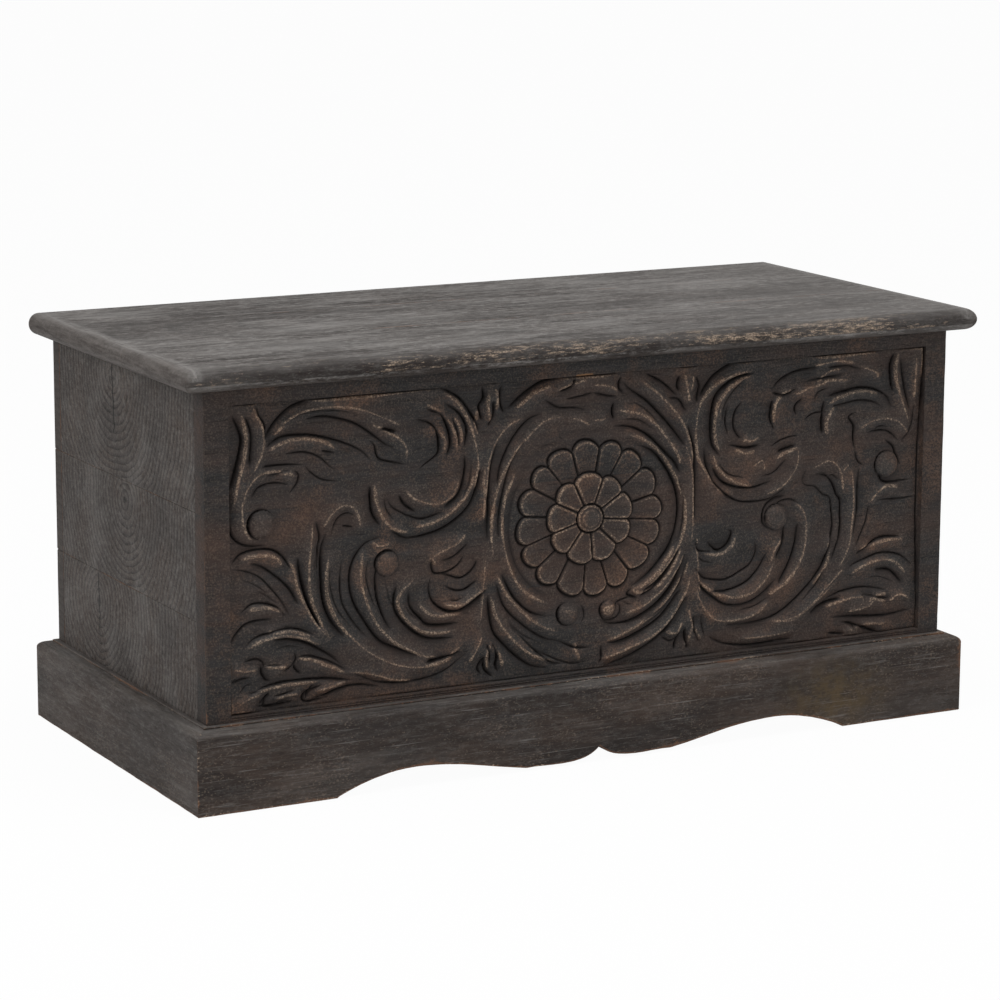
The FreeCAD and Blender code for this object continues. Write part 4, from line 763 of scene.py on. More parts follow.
def relief():
    """The field's heights in millimetres, none above the face, row by row from its foot."""
    h = None
    for times in RELAX_STEPS:
        step = STEP * times
        shape = (int(round(HEIGHT / step)) + 1, int(round(2 * HALF_W / step)) + 1)
        x, z = np.meshgrid(np.linspace(-HALF_W, HALF_W, shape[1]), np.linspace(0, HEIGHT, shape[0]))
        h = relaxed(step, None if h is None else resized(h, shape), x, z)
    lip = strokes(h.shape, 2, LIP, 1.6)
    h = blurred(h, 0.7) + lip - strokes(h.shape, 1, GOUGE, 1.0)
    h = rosette(x, z, with_balls(x, z, h))
    h = np.clip(h, -DEEPEST, -0.15)
    edge = np.minimum(np.minimum(x + HALF_W, HALF_W - x), np.minimum(z, HEIGHT - z))
    sunk = -EDGE_DEPTH * np.clip(1 - edge / EDGE_WIDTH, 0, 1) ** 0.8
    return blurred(np.minimum(h, sunk - 0.2), 0.5)


# Shader building

class Nodes:
    """Adds nodes to one tree. An input may be a value or another node's output."""

    def __init__(self, tree):
        self.tree = tree

    def add(self, kind, inputs=None, **settings):
        node = self.tree.nodes.new(kind)
        for name, value in settings.items():
            setattr(node, name, value)
        for key, value in (inputs or {}).items():
            if isinstance(value, bpy.types.NodeSocket):
                self.tree.links.new(value, node.inputs[key])
            else:
                node.inputs[key].default_value = value
        return node

    def math(self, operation, a, b=0.0, c=0.0, clamp=False):
        node = self.add("ShaderNodeMath", {0: a, 1: b, 2: c}, operation=operation, use_clamp=clamp)
        return node.outputs[0]

    def times(self, a, b):
        return self.math("MULTIPLY", a, b)

    def vector(self, operation, a, b=(0, 0, 0)):
        node = self.add("ShaderNodeVectorMath", {0: a, 1: b}, operation=operation)
        return node.outputs["Value" if operation == "LENGTH" else "Vector"]

    def scaled(self, vector, by):
        return self.add("ShaderNodeVectorMath", {0: vector, "Scale": by}, operation="SCALE").outputs[0]

    def split(self, vector):
        return self.add("ShaderNodeSeparateXYZ", {0: vector}).outputs

    def noise(self, vector, scale=1.0, detail=3.0, roughness=0.5):
        return self.add("ShaderNodeTexNoise", {"Vector": vector, "Scale": scale, "Detail": detail,
                                               "Roughness": roughness}).outputs["Fac"]

    def streaks(self, vector, scales, detail, roughness):
        """Noise with a scale of its own along each axis."""
        return self.noise(self.vector("MULTIPLY", vector, scales), 1, detail, roughness)

    def ranged(self, value, low, high, to_low=0.0, to_high=1.0):
        return self.add("ShaderNodeMapRange", {0: value, 1: low, 2: high, 3: to_low, 4: to_high},
                        clamp=True).outputs[0]

    def mix(self, share, a, b):
        """Colour a covered with this share of colour b. Either may be a node's output."""
        a, b = (c if isinstance(c, bpy.types.NodeSocket) else (*c, 1.0) for c in (a, b))
        return self.add("ShaderNodeMix", {0: share, 6: a, 7: b}, data_type="RGBA").outputs[2]

    def layer(self, name):
        return self.add("ShaderNodeAttribute", attribute_name=name).outputs["Fac"]

    def upward(self):
        """How far a face looks up, from -1 to 1, in the pose the part was built in."""
        return self.split(self.add("ShaderNodeTexCoord").outputs["Normal"])[2]

    def group(self, tree, inputs):
        return self.add("ShaderNodeGroup", inputs, node_tree=tree).outputs

    def finish(self, shader, colour, roughness, height, strength, distance):
        """Gives a shader its colour, its roughness and a bump of this strength and depth."""
        bump = self.add("ShaderNodeBump", {"Strength": strength, "Distance": distance, "Height": height})
        for socket, value in (("Base Color", colour), ("Roughness", roughness),
                              ("Normal", bump.outputs["Normal"])):
            self.tree.links.new(value, shader.inputs[socket])


FLOAT, VECTOR = "NodeSocketFloat", "NodeSocketVector"


def shader_group(name, inputs, outputs):
    """A node group with named sockets: its tree, its builder, its inputs and what links an output."""
    tree = bpy.data.node_groups.new(name, "ShaderNodeTree")
    for label, kind, value in inputs:
        socket = tree.interface.new_socket(name=label, in_out="INPUT", socket_type=kind)
        if value is not None:
            socket.default_value = value
    for label in outputs:
        tree.interface.new_socket(name=label, in_out="OUTPUT", socket_type=FLOAT)
    nodes = Nodes(tree)
    given = nodes.add("NodeGroupInput").outputs
    result = nodes.add("NodeGroupOutput").inputs
    return tree, nodes, given, lambda label, value: tree.links.new(value, result[label])


def grain_group():
    """Streaks, growth rings, open pores, clouds and a crack of a board with its grain along X."""
    tree, n, given, give = shader_group(
        "wood_grain", (("Vector", VECTOR, None), ("Seed", FLOAT, 0.0), ("Heart", VECTOR, None),
                       ("Slope", FLOAT, 0.05), ("Ring Width", FLOAT, 0.009), ("Wander", FLOAT, 1.0),
                       ("Crack", FLOAT, 0.0)),
        ("Streak", "Fine", "Rings", "Pores", "Cloud", "Crack"))
    moved = n.vector("ADD", given["Vector"], n.scaled((3.1, 1.7, 2.3), given["Seed"]))
    bend = n.add("ShaderNodeTexNoise", {"Vector": n.vector("MULTIPLY", moved, (4, 13, 13)),
                                        "Scale": 1.0, "Detail": 3.0}).outputs["Color"]
    bend = n.vector("MULTIPLY", n.vector("SUBTRACT", bend, (0.5, 0.5, 0.5)), (0, 0.014, 0.014))
    bend = n.scaled(bend, given["Wander"])
    bent = n.vector("ADD", moved, bend)
    give("Streak", n.streaks(bent, (11, 330, 330), 4, 0.62))
    give("Fine", n.streaks(bent, (95, 900, 900), 3, 0.65))
    give("Cloud", n.streaks(moved, (6, 19, 19), 4, 0.6))
    give("Pores", n.ranged(n.streaks(bent, (60, 820, 820), 2, 0.5), 0.6, 0.7))

    off = n.vector("SUBTRACT", n.vector("ADD", given["Vector"], bend), given["Heart"])
    parts = n.split(off)
    wobble = n.math("MULTIPLY_ADD", n.streaks(moved, (5, 5, 60), 4, 0.7), 0.014, -0.007)
    gap = n.ranged(n.math("ABSOLUTE", n.math("ADD", parts[1], wobble)), 0.002, 0.0009)
    reach = n.math("SUBTRACT", given["Crack"], n.math("ABSOLUTE", parts[2]))
    gap = n.times(gap, n.ranged(reach, 0.0, 0.01))
    knot = n.ranged(n.vector("LENGTH", n.vector("MULTIPLY", off, (0, 1, 2))), 0.009, 0.002)
    knot = n.times(knot, n.ranged(given["Crack"], 0.0, 0.004))
    give("Crack", n.math("MAXIMUM", gap, n.times(knot, 0.8)))

    cone = n.add("ShaderNodeCombineXYZ", {0: n.times(parts[0], given["Slope"]),
                                          1: parts[1], 2: parts[2]}).outputs[0]
    swirl = n.times(n.streaks(moved, (5, 16, 16), 3, 0.5), n.times(given["Wander"], 0.03))
    ring = n.math("DIVIDE", n.math("ADD", n.vector("LENGTH", cone), swirl), given["Ring Width"])
    saw = n.math("FRACT", ring)
    give("Rings", n.times(n.math("POWER", saw, 2.5), n.ranged(saw, 1.0, 0.92)))
    return tree


def rub_group():
    """Where edges have lost their finish: 1 at the rim in a few places, broken up inwards."""
    tree, n, given, give = shader_group(
        "edge_rub", (("Vector", VECTOR, None), ("Rim", FLOAT, 1.0), ("Width", FLOAT, 0.005)),
        ("Rub", "Edge"))
    patchy = n.noise(given["Vector"], 13, 5, 0.65)
    broken = n.noise(given["Vector"], 260, 4, 0.7)
    reach = n.times(given["Width"], n.ranged(patchy, 0.5, 0.72, 0.02, 1.3))
    share = n.math("DIVIDE", given["Rim"], reach)
    share = n.math("ADD", share, n.math("MULTIPLY_ADD", broken, 3.4, -1.7))
    give("Rub", n.ranged(share, 1.0, 0.2))
    give("Edge", n.ranged(n.math("DIVIDE", given["Rim"], given["Width"]), 0.4, 0.0))
    return tree


def wear_group():
    """Pale specks all over, thicker in patches, and a few thin rubbed lines along the grain."""
    tree, n, given, give = shader_group(
        "wear", (("Vector", VECTOR, None), ("Density", FLOAT, 0.5)), ("Speck", "Line"))
    patch = n.ranged(n.noise(given["Vector"], 12, 5, 0.62), 0.4, 0.62)
    grit = n.streaks(given["Vector"], (330, 560, 560), 2, 0.6)
    need = n.math("SUBTRACT", n.math("MULTIPLY_ADD", patch, -0.13, 0.76), n.times(given["Density"], 0.07))
    give("Speck", n.ranged(n.math("SUBTRACT", grit, need), 0.0, 0.08))
    thin = n.streaks(given["Vector"], (16, 620, 620), 2, 0.5)
    give("Line", n.ranged(n.math("MULTIPLY_ADD", patch, 0.06, thin), 0.66, 0.74))
    return tree


def dust_group():
    """Bloom that lies on faces that look up, in streaks along the grain."""
    tree, n, given, give = shader_group(
        "dust", (("Vector", VECTOR, None), ("Amount", FLOAT, 0.5)), ("Dust",))
    cloud = n.ranged(n.streaks(given["Vector"], (3, 14, 14), 5, 0.62), 0.36, 0.62, 0.3, 1.0)
    grit = n.ranged(n.streaks(given["Vector"], (24, 420, 420), 4, 0.7), 0.34, 0.62, 0.2, 1.0)
    lying = n.times(n.ranged(n.upward(), 0.1, 0.95), n.times(cloud, grit))
    give("Dust", n.math("MULTIPLY", lying, given["Amount"], clamp=True))
    return tree


GROUPS, FINISHES = {}, {}


def shared(name, maker):
    """A node group that is built once."""
    if name not in GROUPS:
        GROUPS[name] = maker()
    return GROUPS[name]


def new_material(name, **constants):
    """A material whose shader has these constants, its node builder and its shader."""
    made = bpy.data.materials.new("old_" + name)
    made.use_nodes = True
    nodes = Nodes(made.node_tree)
    shader = made.node_tree.nodes["Principled BSDF"]
    for socket, value in constants.items():
        shader.inputs[socket.replace("_", " ")].default_value = value
    return made, nodes, shader


# Which of a place's coordinates run along the grain, across it and deep, by the way the grain runs
GRAIN_AXES = {"X": (0, 1, 2), "Y": (1, 2, 0), "face": (0, 2, 1)}


def worn_marks(n, colour, grain, grainwise, ring, worn, pits):
    """Pits, patches and tracks along the grain, some pale and some dark."""
    c = colours()
    tracks = n.streaks(grainwise, (14, 140, 140), 6, 0.75)
    tracks = n.math("MULTIPLY_ADD", n.math("SUBTRACT", grain["Cloud"], 0.5), 0.5, tracks)
    for marks, pale, dark, share, dark_share in (
            (n.streaks(grainwise, (100, 270, 270), 4, 0.85), (0.51, 0.6), (0.49, 0.4), pits, pits * 1.3),
            (n.streaks(grainwise, (5, 17, 17), 4, 0.6), (0.5, 0.64), (0.48, 0.36), worn, worn),
            (tracks, (0.5, 0.66), (0.5, 0.36), worn, worn * 1.3)):
        colour = n.mix(n.ranged(marks, *pale, 0.0, share), colour, c.dust)
        colour = n.mix(n.ranged(marks, *dark, 0.0, dark_share), colour, c.stain)
    return n.mix(n.times(ring, 0.26), colour, c.grime_and_shade)


def sandy_mark(n, colour, place, middle):
    """One broken patch where the stain is thin."""
    off = n.vector("MULTIPLY", n.vector("SUBTRACT", place, middle), (0.6, 1, 1))
    broken = n.ranged(n.noise(place, 60, 5, 0.7), 0.4, 0.6, 0.2, 0.8)
    return n.mix(n.times(n.ranged(n.vector("LENGTH", off), 0.05, 0.01), broken), colour, colours().sandy)


def carved_marks(n, colour, place):
    """Stippled and rust-brown swells, worn crests, painted highlight on high parts and crests, painted shade
    on low parts, and hollows darkened by dirt and painted shade.
    """
    c = colours()
    grit, patch = n.noise(place, 520, 3, 0.8), n.noise(place, 16, 5, 0.65)
    swell, crest = n.layer("swell"), n.layer("crest")
    stipple = n.times(n.ranged(grit, 0.52, 0.6), n.ranged(swell, -0.2, 0.2, 0.08, 0.34))
    colour = n.mix(stipple, colour, c.speck)
    # Painted highlight: the carving's higher parts turn greyer and paler
    colour = n.mix(n.ranged(swell, 0.02, 0.35, 0.0, 0.12), colour, c.grey)
    rusty = n.times(n.ranged(patch, 0.5, 0.64), n.ranged(swell, -0.1, 0.25, 0.25, 0.85))
    colour = n.mix(n.times(rusty, n.ranged(grit, 0.42, 0.56, 0.05, 0.75)), colour, c.rub)
    # Painted shade: the carving's lower parts darken towards the stain colour
    colour = n.mix(n.ranged(swell, -0.05, -0.4, 0.0, 0.6), colour, c.stain)
    brown = n.times(n.ranged(crest, 0.25, 0.9), n.ranged(patch, 0.42, 0.62, 0.12, 0.68))
    colour = n.mix(n.times(brown, n.ranged(grit, 0.4, 0.54, 0.25, 1.0)), colour, c.rub)
    # Worn crests and painted highlight: pale bare wood along the crest lines
    pale = n.times(n.ranged(crest, 0.35, 0.9), n.ranged(grit, 0.49, 0.6, 0.05, 0.64))
    colour = n.mix(pale, colour, c.bare)
    # Dirt and painted shade: the hollows darken towards the grime colour
    return n.mix(n.ranged(n.layer("hollow"), 0.15, 0.8, 0.0, 0.9), colour, c.grime_and_shade)


def lid_marks(n, colour, place, thread, dark, light):
    """Painted light towards the lid's right end, its calm underside, dark scuffed front edge, end grain and
    paler strips along the tops of its ends.
    """
    c = colours()
    nose = n.layer("nose")
    # Painted light: the lid grows paler towards its right end, where the lamps reach it less
    colour = n.mix(n.ranged(n.split(place)[0], 0.0, 0.4, 0.0, 0.2), colour, c.dust)
    calm = n.mix(thread, dark, c.stain_thin)
    colour = n.mix(n.ranged(n.upward(), -0.5, -0.9, 0.0, 0.7), colour, calm)
    colour = n.mix(n.ranged(nose, 0.05, 0.4, 0.0, 0.7), colour, c.stain)
    where = n.ranged(n.streaks(place, (5, 30, 30), 3, 0.6), 0.42, 0.6, -0.1, 0.06)
    scuffs = n.ranged(n.math("ADD", n.streaks(place, (70, 380, 380), 5, 0.8), where), 0.53, 0.64)
    scuffs = n.times(scuffs, n.ranged(n.noise(place, 620, 2, 0.6), 0.42, 0.58, 0.35, 1.0))
    colour = n.mix(n.times(n.times(nose, scuffs), 0.9), colour, c.bare)
    end_grain = n.ranged(n.streaks(place, (230, 30, 230), 4, 0.7), 0.36, 0.62)
    colour = n.mix(n.times(n.layer("end"), 0.85), colour, n.mix(end_grain, dark, light))
    strip = n.ranged(n.streaks(place, (260, 22, 200), 4, 0.7), 0.4, 0.6, 0.25, 0.8)
    return n.mix(n.times(n.layer("strip"), strip), colour, c.dust)


def wood(name, dark, light, warm, along="X", contrast=1.0, ring_depth=0.5, ring_width=0.009, dust=0.3,
         rub=1.0, speck=0.5, line=0.1, worn=0.0, pits=0.0, wander=1.0, carved=False, lid=False,
         sandy=None):
    """Old stained wood: grain, patches of thinner stain, rubbed edges, specks, dirt and dust, and some
    painted light and shade on the carving and the lid.
    """
    made, n, shader = new_material(name, Specular_IOR_Level=0.2)
    c = colours()
    place = n.add("ShaderNodeTexCoord").outputs["Object"]
    part = n.split(place)
    grainwise = n.add("ShaderNodeCombineXYZ",
                      {i: part[axis] for i, axis in enumerate(GRAIN_AXES[along])}).outputs[0]
    heart = n.add("ShaderNodeAttribute", attribute_name="heart").outputs["Vector"]
    grain = n.group(shared("wood_grain", grain_group),
                    {"Vector": grainwise, "Seed": n.layer("seed"), "Heart": heart,
                     "Slope": n.layer("slope"), "Ring Width": ring_width, "Wander": wander,
                     "Crack": n.layer("crack")})
    wear = n.group(shared("wear", wear_group), {"Vector": grainwise, "Density": speck})
    rubs = n.group(shared("edge_rub", rub_group),
                   {"Vector": place, "Rim": n.layer("rim"), "Width": sizes().rub_width * rub})
    bloom = n.group(shared("dust", dust_group), {"Vector": grainwise, "Amount": dust})["Dust"]

    thread = n.math("MULTIPLY_ADD", grain["Fine"], 0.45, n.times(grain["Streak"], 0.55))
    thread = n.ranged(thread, 0.5 - 0.17 / contrast, 0.5 + 0.17 / contrast)
    colour = n.mix(thread, dark, light)
    colour = n.mix(n.ranged(grain["Cloud"], 0.42, 0.66, 0.0, 0.75), colour, warm)
    colour = n.mix(n.ranged(grain["Cloud"], 0.44, 0.3, 0.0, 0.5), colour, dark)
    ring = n.ranged(grain["Streak"], 0.36, 0.6, 0.5 * ring_depth, ring_depth)
    ring = n.times(grain["Rings"], ring)
    colour = n.mix(n.times(ring, 0.9), colour, c.grime_and_shade)
    colour = n.mix(n.times(grain["Pores"], 0.55), colour, c.grime_and_shade)
    if line:
        colour = n.mix(n.times(wear["Line"], line), colour, c.dust)
    if worn:
        colour = worn_marks(n, colour, grain, grainwise, ring, worn, pits)
    colour = n.mix(n.times(wear["Speck"], 0.4), colour, c.speck)
    colour = n.mix(n.times(grain["Crack"], 0.85), colour, c.grime_and_shade)
    if sandy:
        colour = sandy_mark(n, colour, place, sandy)
    if carved:
        colour = carved_marks(n, colour, place)
    colour = n.mix(n.times(rubs["Rub"], 0.7), colour, c.rub)
    colour = n.mix(n.times(n.times(rubs["Edge"], wear["Speck"]), 0.8), colour, c.bare)
    if carved:
        colour = n.mix(n.ranged(n.layer("chip"), 0.2, 0.8), colour, c.inner)
    if lid:
        colour = lid_marks(n, colour, place, thread, dark, light)
    colour = n.mix(bloom, colour, c.dust)

    rough = n.math("MULTIPLY_ADD", grain["Streak"], 0.3, 0.42)
    rough = n.math("MULTIPLY_ADD", bloom, 0.3, rough)
    rough = n.math("MULTIPLY_ADD", rubs["Rub"], 0.1, rough, clamp=True)
    height = n.math("MULTIPLY_ADD", grain["Fine"], 0.8, n.times(grain["Streak"], 1.3))
    height = n.math("SUBTRACT", height, n.times(grain["Pores"], 0.8))
    height = n.math("SUBTRACT", height, n.times(grain["Rings"], ring_depth * 0.5))
    n.finish(shader, colour, rough, height, 0.5, 0.0009)
    return made


def metal(name, colour, tarnish, rough):
    """Old worked metal: cloudy tarnish, file marks and pits."""
    made, n, shader = new_material(name, Metallic=1.0)
    place = n.add("ShaderNodeTexCoord").outputs["Object"]
    cloud = n.noise(place, 90, 5, 0.65)
    marks = n.streaks(place, (60, 900, 900), 3, 0.6)
    pits = n.ranged(n.noise(place, 900, 3, 0.6), 0.55, 0.7)
    shown = n.mix(n.ranged(cloud, 0.38, 0.62), colour, tarnish)
    shown = n.mix(n.times(pits, 0.6), shown, colours().grime_and_shade)
    roughness = n.math("MULTIPLY_ADD", cloud, 0.3, n.math("MULTIPLY_ADD", marks, 0.12, rough))
    n.finish(shader, shown, roughness, n.math("SUBTRACT", n.times(marks, 0.5), pits), 0.35, 0.0003)
    return made


def blended(a, b, share):
    return tuple(p * (1 - share) + q * share for p, q in zip(a, b))


def material(name):
    """A finish by name, made the first time it is asked for."""
    if name in FINISHES:
        return FINISHES[name]
    c = colours()
    stain, thin, brown, grey, inner = c.stain, c.stain_thin, c.brown, c.grey, c.inner
    inner_shades = (blended(inner, thin, 0.5), inner, blended(inner, brown, 0.4))
    # Each wood's dark, light and warm colours, then what sets it apart
    woods = {
        "carved_wood": ((tone(35, 34, 34), tone(60, 58, 58), tone(72, 56, 49)),
                        dict(along="face", contrast=1.1, ring_depth=0.35, dust=0.1, speck=0.2, line=0,
                             carved=True)),
        "side_wood": ((blended(thin, stain, 0.15), blended(thin, grey, 0.85), brown),
                      dict(contrast=1.5, ring_depth=1.2, ring_width=0.0075, dust=0.2, rub=0.2, worn=0.16,
                           pits=0.24, wander=0.7)),
        "back_wood": ((blended(stain, thin, 0.7), blended(thin, grey, 0.4), thin),
                      dict(along="face", ring_depth=0.6, dust=0.2, rub=0.3)),
        "lid_wood": ((blended(stain, thin, 0.8), blended(thin, grey, 0.9), thin),
                     dict(contrast=2.6, ring_depth=0.9, ring_width=0.02, dust=0.42, rub=0.5, worn=0.5,
                          pits=0.8, wander=0.5, lid=True)),
        "plinth_wood": ((blended(stain, thin, 0.05), blended(thin, stain, 0.35), brown),
                        dict(along="face", contrast=1.7, ring_depth=0.5, dust=0.35, rub=1.3, speck=1.3,
                             line=0.42, worn=0.08, pits=0.12, sandy=SANDY_PATCH)),
        "plinth_side_wood": ((blended(stain, thin, 0.6), blended(thin, grey, 0.5), brown),
                             dict(along="Y", contrast=1.4, ring_depth=0.6, dust=0.4, rub=0.5, speck=1.2,
                                  worn=0.15, pits=0.2, wander=0.5)),
        "inner_wood": (inner_shades, dict(ring_depth=0.4, dust=0.15, rub=0.5, speck=0.2)),
        "inner_wood_deep": (inner_shades, dict(along="Y", ring_depth=0.4, dust=0.15, rub=0.5, speck=0.2)),
    }
    # Each metal's colour, its tarnish and how rough it is
    metals = {"hinge_brass": (c.brass, tone(82, 66, 44), 0.34),
              "stay_steel": (c.steel, tone(74, 66, 60), 0.38),
              "screw_steel": (c.steel, tone(64, 56, 50), 0.42)}
    if name in metals:
        FINISHES[name] = metal(name, *metals[name])
    else:
        shades, looks = woods[name]
        FINISHES[name] = wood(name, *shades, **looks)
    return FINISHES[name]


# Pieces

LEVELS = ("lower", "middle", "upper")
# Columns of the front's side borders, in 26ths of their width, and rows of its top border, in 16ths
BORDER_COLUMNS = np.array((0, 0.4, 0.9, 1.5, 2.5, 5, 9, 13, 17, 21, 24, 25.2, 25.85))
BORDER_ROWS = np.array((0.15, 1, 2.2, 4, 7, 10, 13, 15, 15.6, 16))
# The front's worn edge, then the chip above the field: how far left of the middle, half its width
# and its depth, in millimetres
FRONT_ARRIS, CHIP_LEFT, CHIP_HALF, CHIP_DEPTH = 1.4, 12, 10, 0.5
# How far the plain borders are worn down, in millimetres
BORDER_WEAR = 0.22


def front_grid():
    """The whole front: columns and rows in millimetres, heights from its face, and its layers."""
    border = BORDER_COLUMNS * FIELD_SIDE / MM / 26
    field_x = np.linspace(-HALF_W, HALF_W, int(round(2 * HALF_W / STEP)) + 1)
    half = BODY_HALF / MM
    x = np.concatenate([-half + border, field_x, (half - border)[::-1]])
    low, high, foot, top = (v / MM for v in (FIELD_LOW, FIELD_HIGH, FRONT_LOW.z, BODY_TOP))
    seat = PLINTH_TOP / MM
    under = [foot, foot + 0.5, foot + 20, seat - 5]
    under += list(np.arange(seat - 0.4, low - 0.2, 0.4))
    field_z = np.linspace(low, high, int(round(HEIGHT / STEP)) + 1)
    over = high + BORDER_ROWS * (top - high) / 16
    z = np.concatenate([under, field_z, over])
    heights = np.zeros((len(z), len(x)))
    layers = {name: np.zeros(heights.shape) for name in ("crest", "hollow", "swell", "chip", "rim")}
    field_top = len(under) + len(field_z)
    field = (slice(len(under), field_top), slice(len(border), len(border) + len(field_x)))
    carved = relief()
    heights[field] = carved
    # Masks of the carving's crests, hollows and swells, from which its colour paints highlight and shade
    near, wide = blurred(carved, 1.4), blurred(carved, 8.0)
    layers["crest"][field] = np.clip((carved - near) / 0.3, 0, 1.2) * np.clip((carved + 5) / 3, 0, 1)
    layers["hollow"][field] = np.clip((blurred(carved, 2.0) - carved) / 1.9, 0, 1)
    layers["swell"][field] = np.clip((carved - wide) / 5.0, -0.5, 0.5)
    grid_x, grid_z = np.meshgrid(x, z)
    away = half - np.abs(grid_x)
    spot = np.stack([grid_x * MM, np.zeros_like(grid_x), grid_z * MM], -1)
    radius = FRONT_ARRIS * (1 + 0.5 * waves(spot, 0.09, 11))
    heights -= radius - np.sqrt(np.maximum(radius ** 2 - np.clip(radius - away, 0, radius) ** 2, 0))
    plain = np.ones(heights.shape, bool)
    plain[field] = False
    heights[plain] -= BORDER_WEAR * (1 + waves(spot, 0.16, 12))[plain]
    for line_z, depth in FOOT_LINES:
        cut = depth * np.clip(1 - np.abs(grid_z - seat - line_z) / FOOT_LINE_HALF, 0, 1)
        heights -= np.where(plain & (np.abs(grid_x) < HALF_W), cut, 0)
    from_chip = np.hypot((grid_x + CHIP_LEFT) / CHIP_HALF, (grid_z - high - 0.4) / 1.3)
    chip = np.clip(1.5 - from_chip * (1 + 0.5 * waves(spot, 0.004, 5)), 0, 1)
    layers["chip"] = np.where(np.arange(len(z))[:, None] >= field_top - 2, chip, 0)
    heights -= CHIP_DEPTH * layers["chip"]
    # The right edge and the top are rubbed less than the left edge
    layers["rim"] = (away + np.where(grid_x > 0, 2.0, 0.0) + np.clip(grid_z - 250, 0, 99) * 0.05) * MM
    return x, z, heights, layers


class CHEST_OT_carved_front(bpy.types.Operator):
    """Carves the three boards of the front with scrolling leaves round a rosette"""
    bl_idname = "chest.carved_front"
    bl_label = "Carved front"

    def execute(self, context):
        x, z, heights, layers = front_grid()
        joints = [int(np.argmin(np.abs(z * MM - joint))) for joint in (JOINT_LOW, JOINT_HIGH)]
        cuts = [0, *joints, len(z) - 1]
        for number, (first, last) in enumerate(zip(cuts, cuts[1:])):
            rows = slice(first, last + 1)
            points = np.empty((last - first + 1, len(x), 3))
            points[..., 0] = x * MM
            points[..., 1] = BODY_FACE - heights[rows] * MM
            points[..., 2] = (z[rows] * MM)[:, None]
            shell = Shell()
            face = shell.grid(points, {name: value[rows] for name, value in layers.items()})
            ring = np.concatenate([face[0, :-1], face[:-1, -1], face[-1, :0:-1], face[:0:-1, 0]])
            behind = points.reshape(-1, 3)[ring].copy()
            behind[:, 1] = FRONT_HIGH.y
            hind = shell.count + np.arange(len(ring))
            shell.add(behind, {"rim": np.full(len(ring), FAR_AWAY)})
            for a, b in zip(range(len(ring)), np.roll(range(len(ring)), -1)):
                shell.face((ring[a], hind[a], hind[b], ring[b]))
            shell.face(hind[::-1])
            made = shell.object("front_board_" + LEVELS[number], weld=False, seed=1.0 + number)
            dress(made, "case", "carved_wood", "carved_front")
        return {"FINISHED"}


def lay_board(node, finish, arris, spacing, seed):
    """Lays a worn board of the case in the place of its CAD node."""
    dress(plank("worn_" + node, *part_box(node), arris, spacing, seed), "case", finish, node)


def fit(word, node, body, finish, arris, seed=0.0, crease=CREASE):
    """Fits an eased copy of a CAD node in its place."""
    dress(softened(f"{word}_{node}", node, arris, seed, crease), body, finish, node)


def case_boards(wall, finish, seed, arris):
    """Lays the three boards of one wall of the case, each with a grain of its own."""
    for number, level in enumerate(LEVELS):
        lay_board(f"{wall}_{level}", finish, arris, 0.03, seed + number)


class CHEST_OT_side_boards(bpy.types.Operator):
    """Lays the three glued boards of each side"""
    bl_idname = "chest.side_boards"
    bl_label = "Side boards"

    def execute(self, context):
        for side, seed in (("left", 10), ("right", 20)):
            case_boards(side + "_side", "side_wood", seed, sizes().arris * 0.6)
        return {"FINISHED"}


class CHEST_OT_back_boards(bpy.types.Operator):
    """Lays the three boards of the back"""
    bl_idname = "chest.back_boards"
    bl_label = "Back boards"

    def execute(self, context):
        case_boards("back", "back_wood", 30, sizes().arris)
        return {"FINISHED"}


# The rounding of the lid's back edge, the deepest dent in its front edge and the width of the paler
# strips along its ends
LID_BACK_RADIUS = 3 * MM
LID_DENT, LID_STRIP = 0.5 * MM, 3.5 * MM


def eased(edge, way, radius, half, shares):
    """The section of a rounded edge: how far along, and half the board's thickness there."""
    return [(edge + way * radius * f, half - radius * (1 - math.sqrt(max(1 - (1 - f) ** 2, 0))))
            for f in shares]


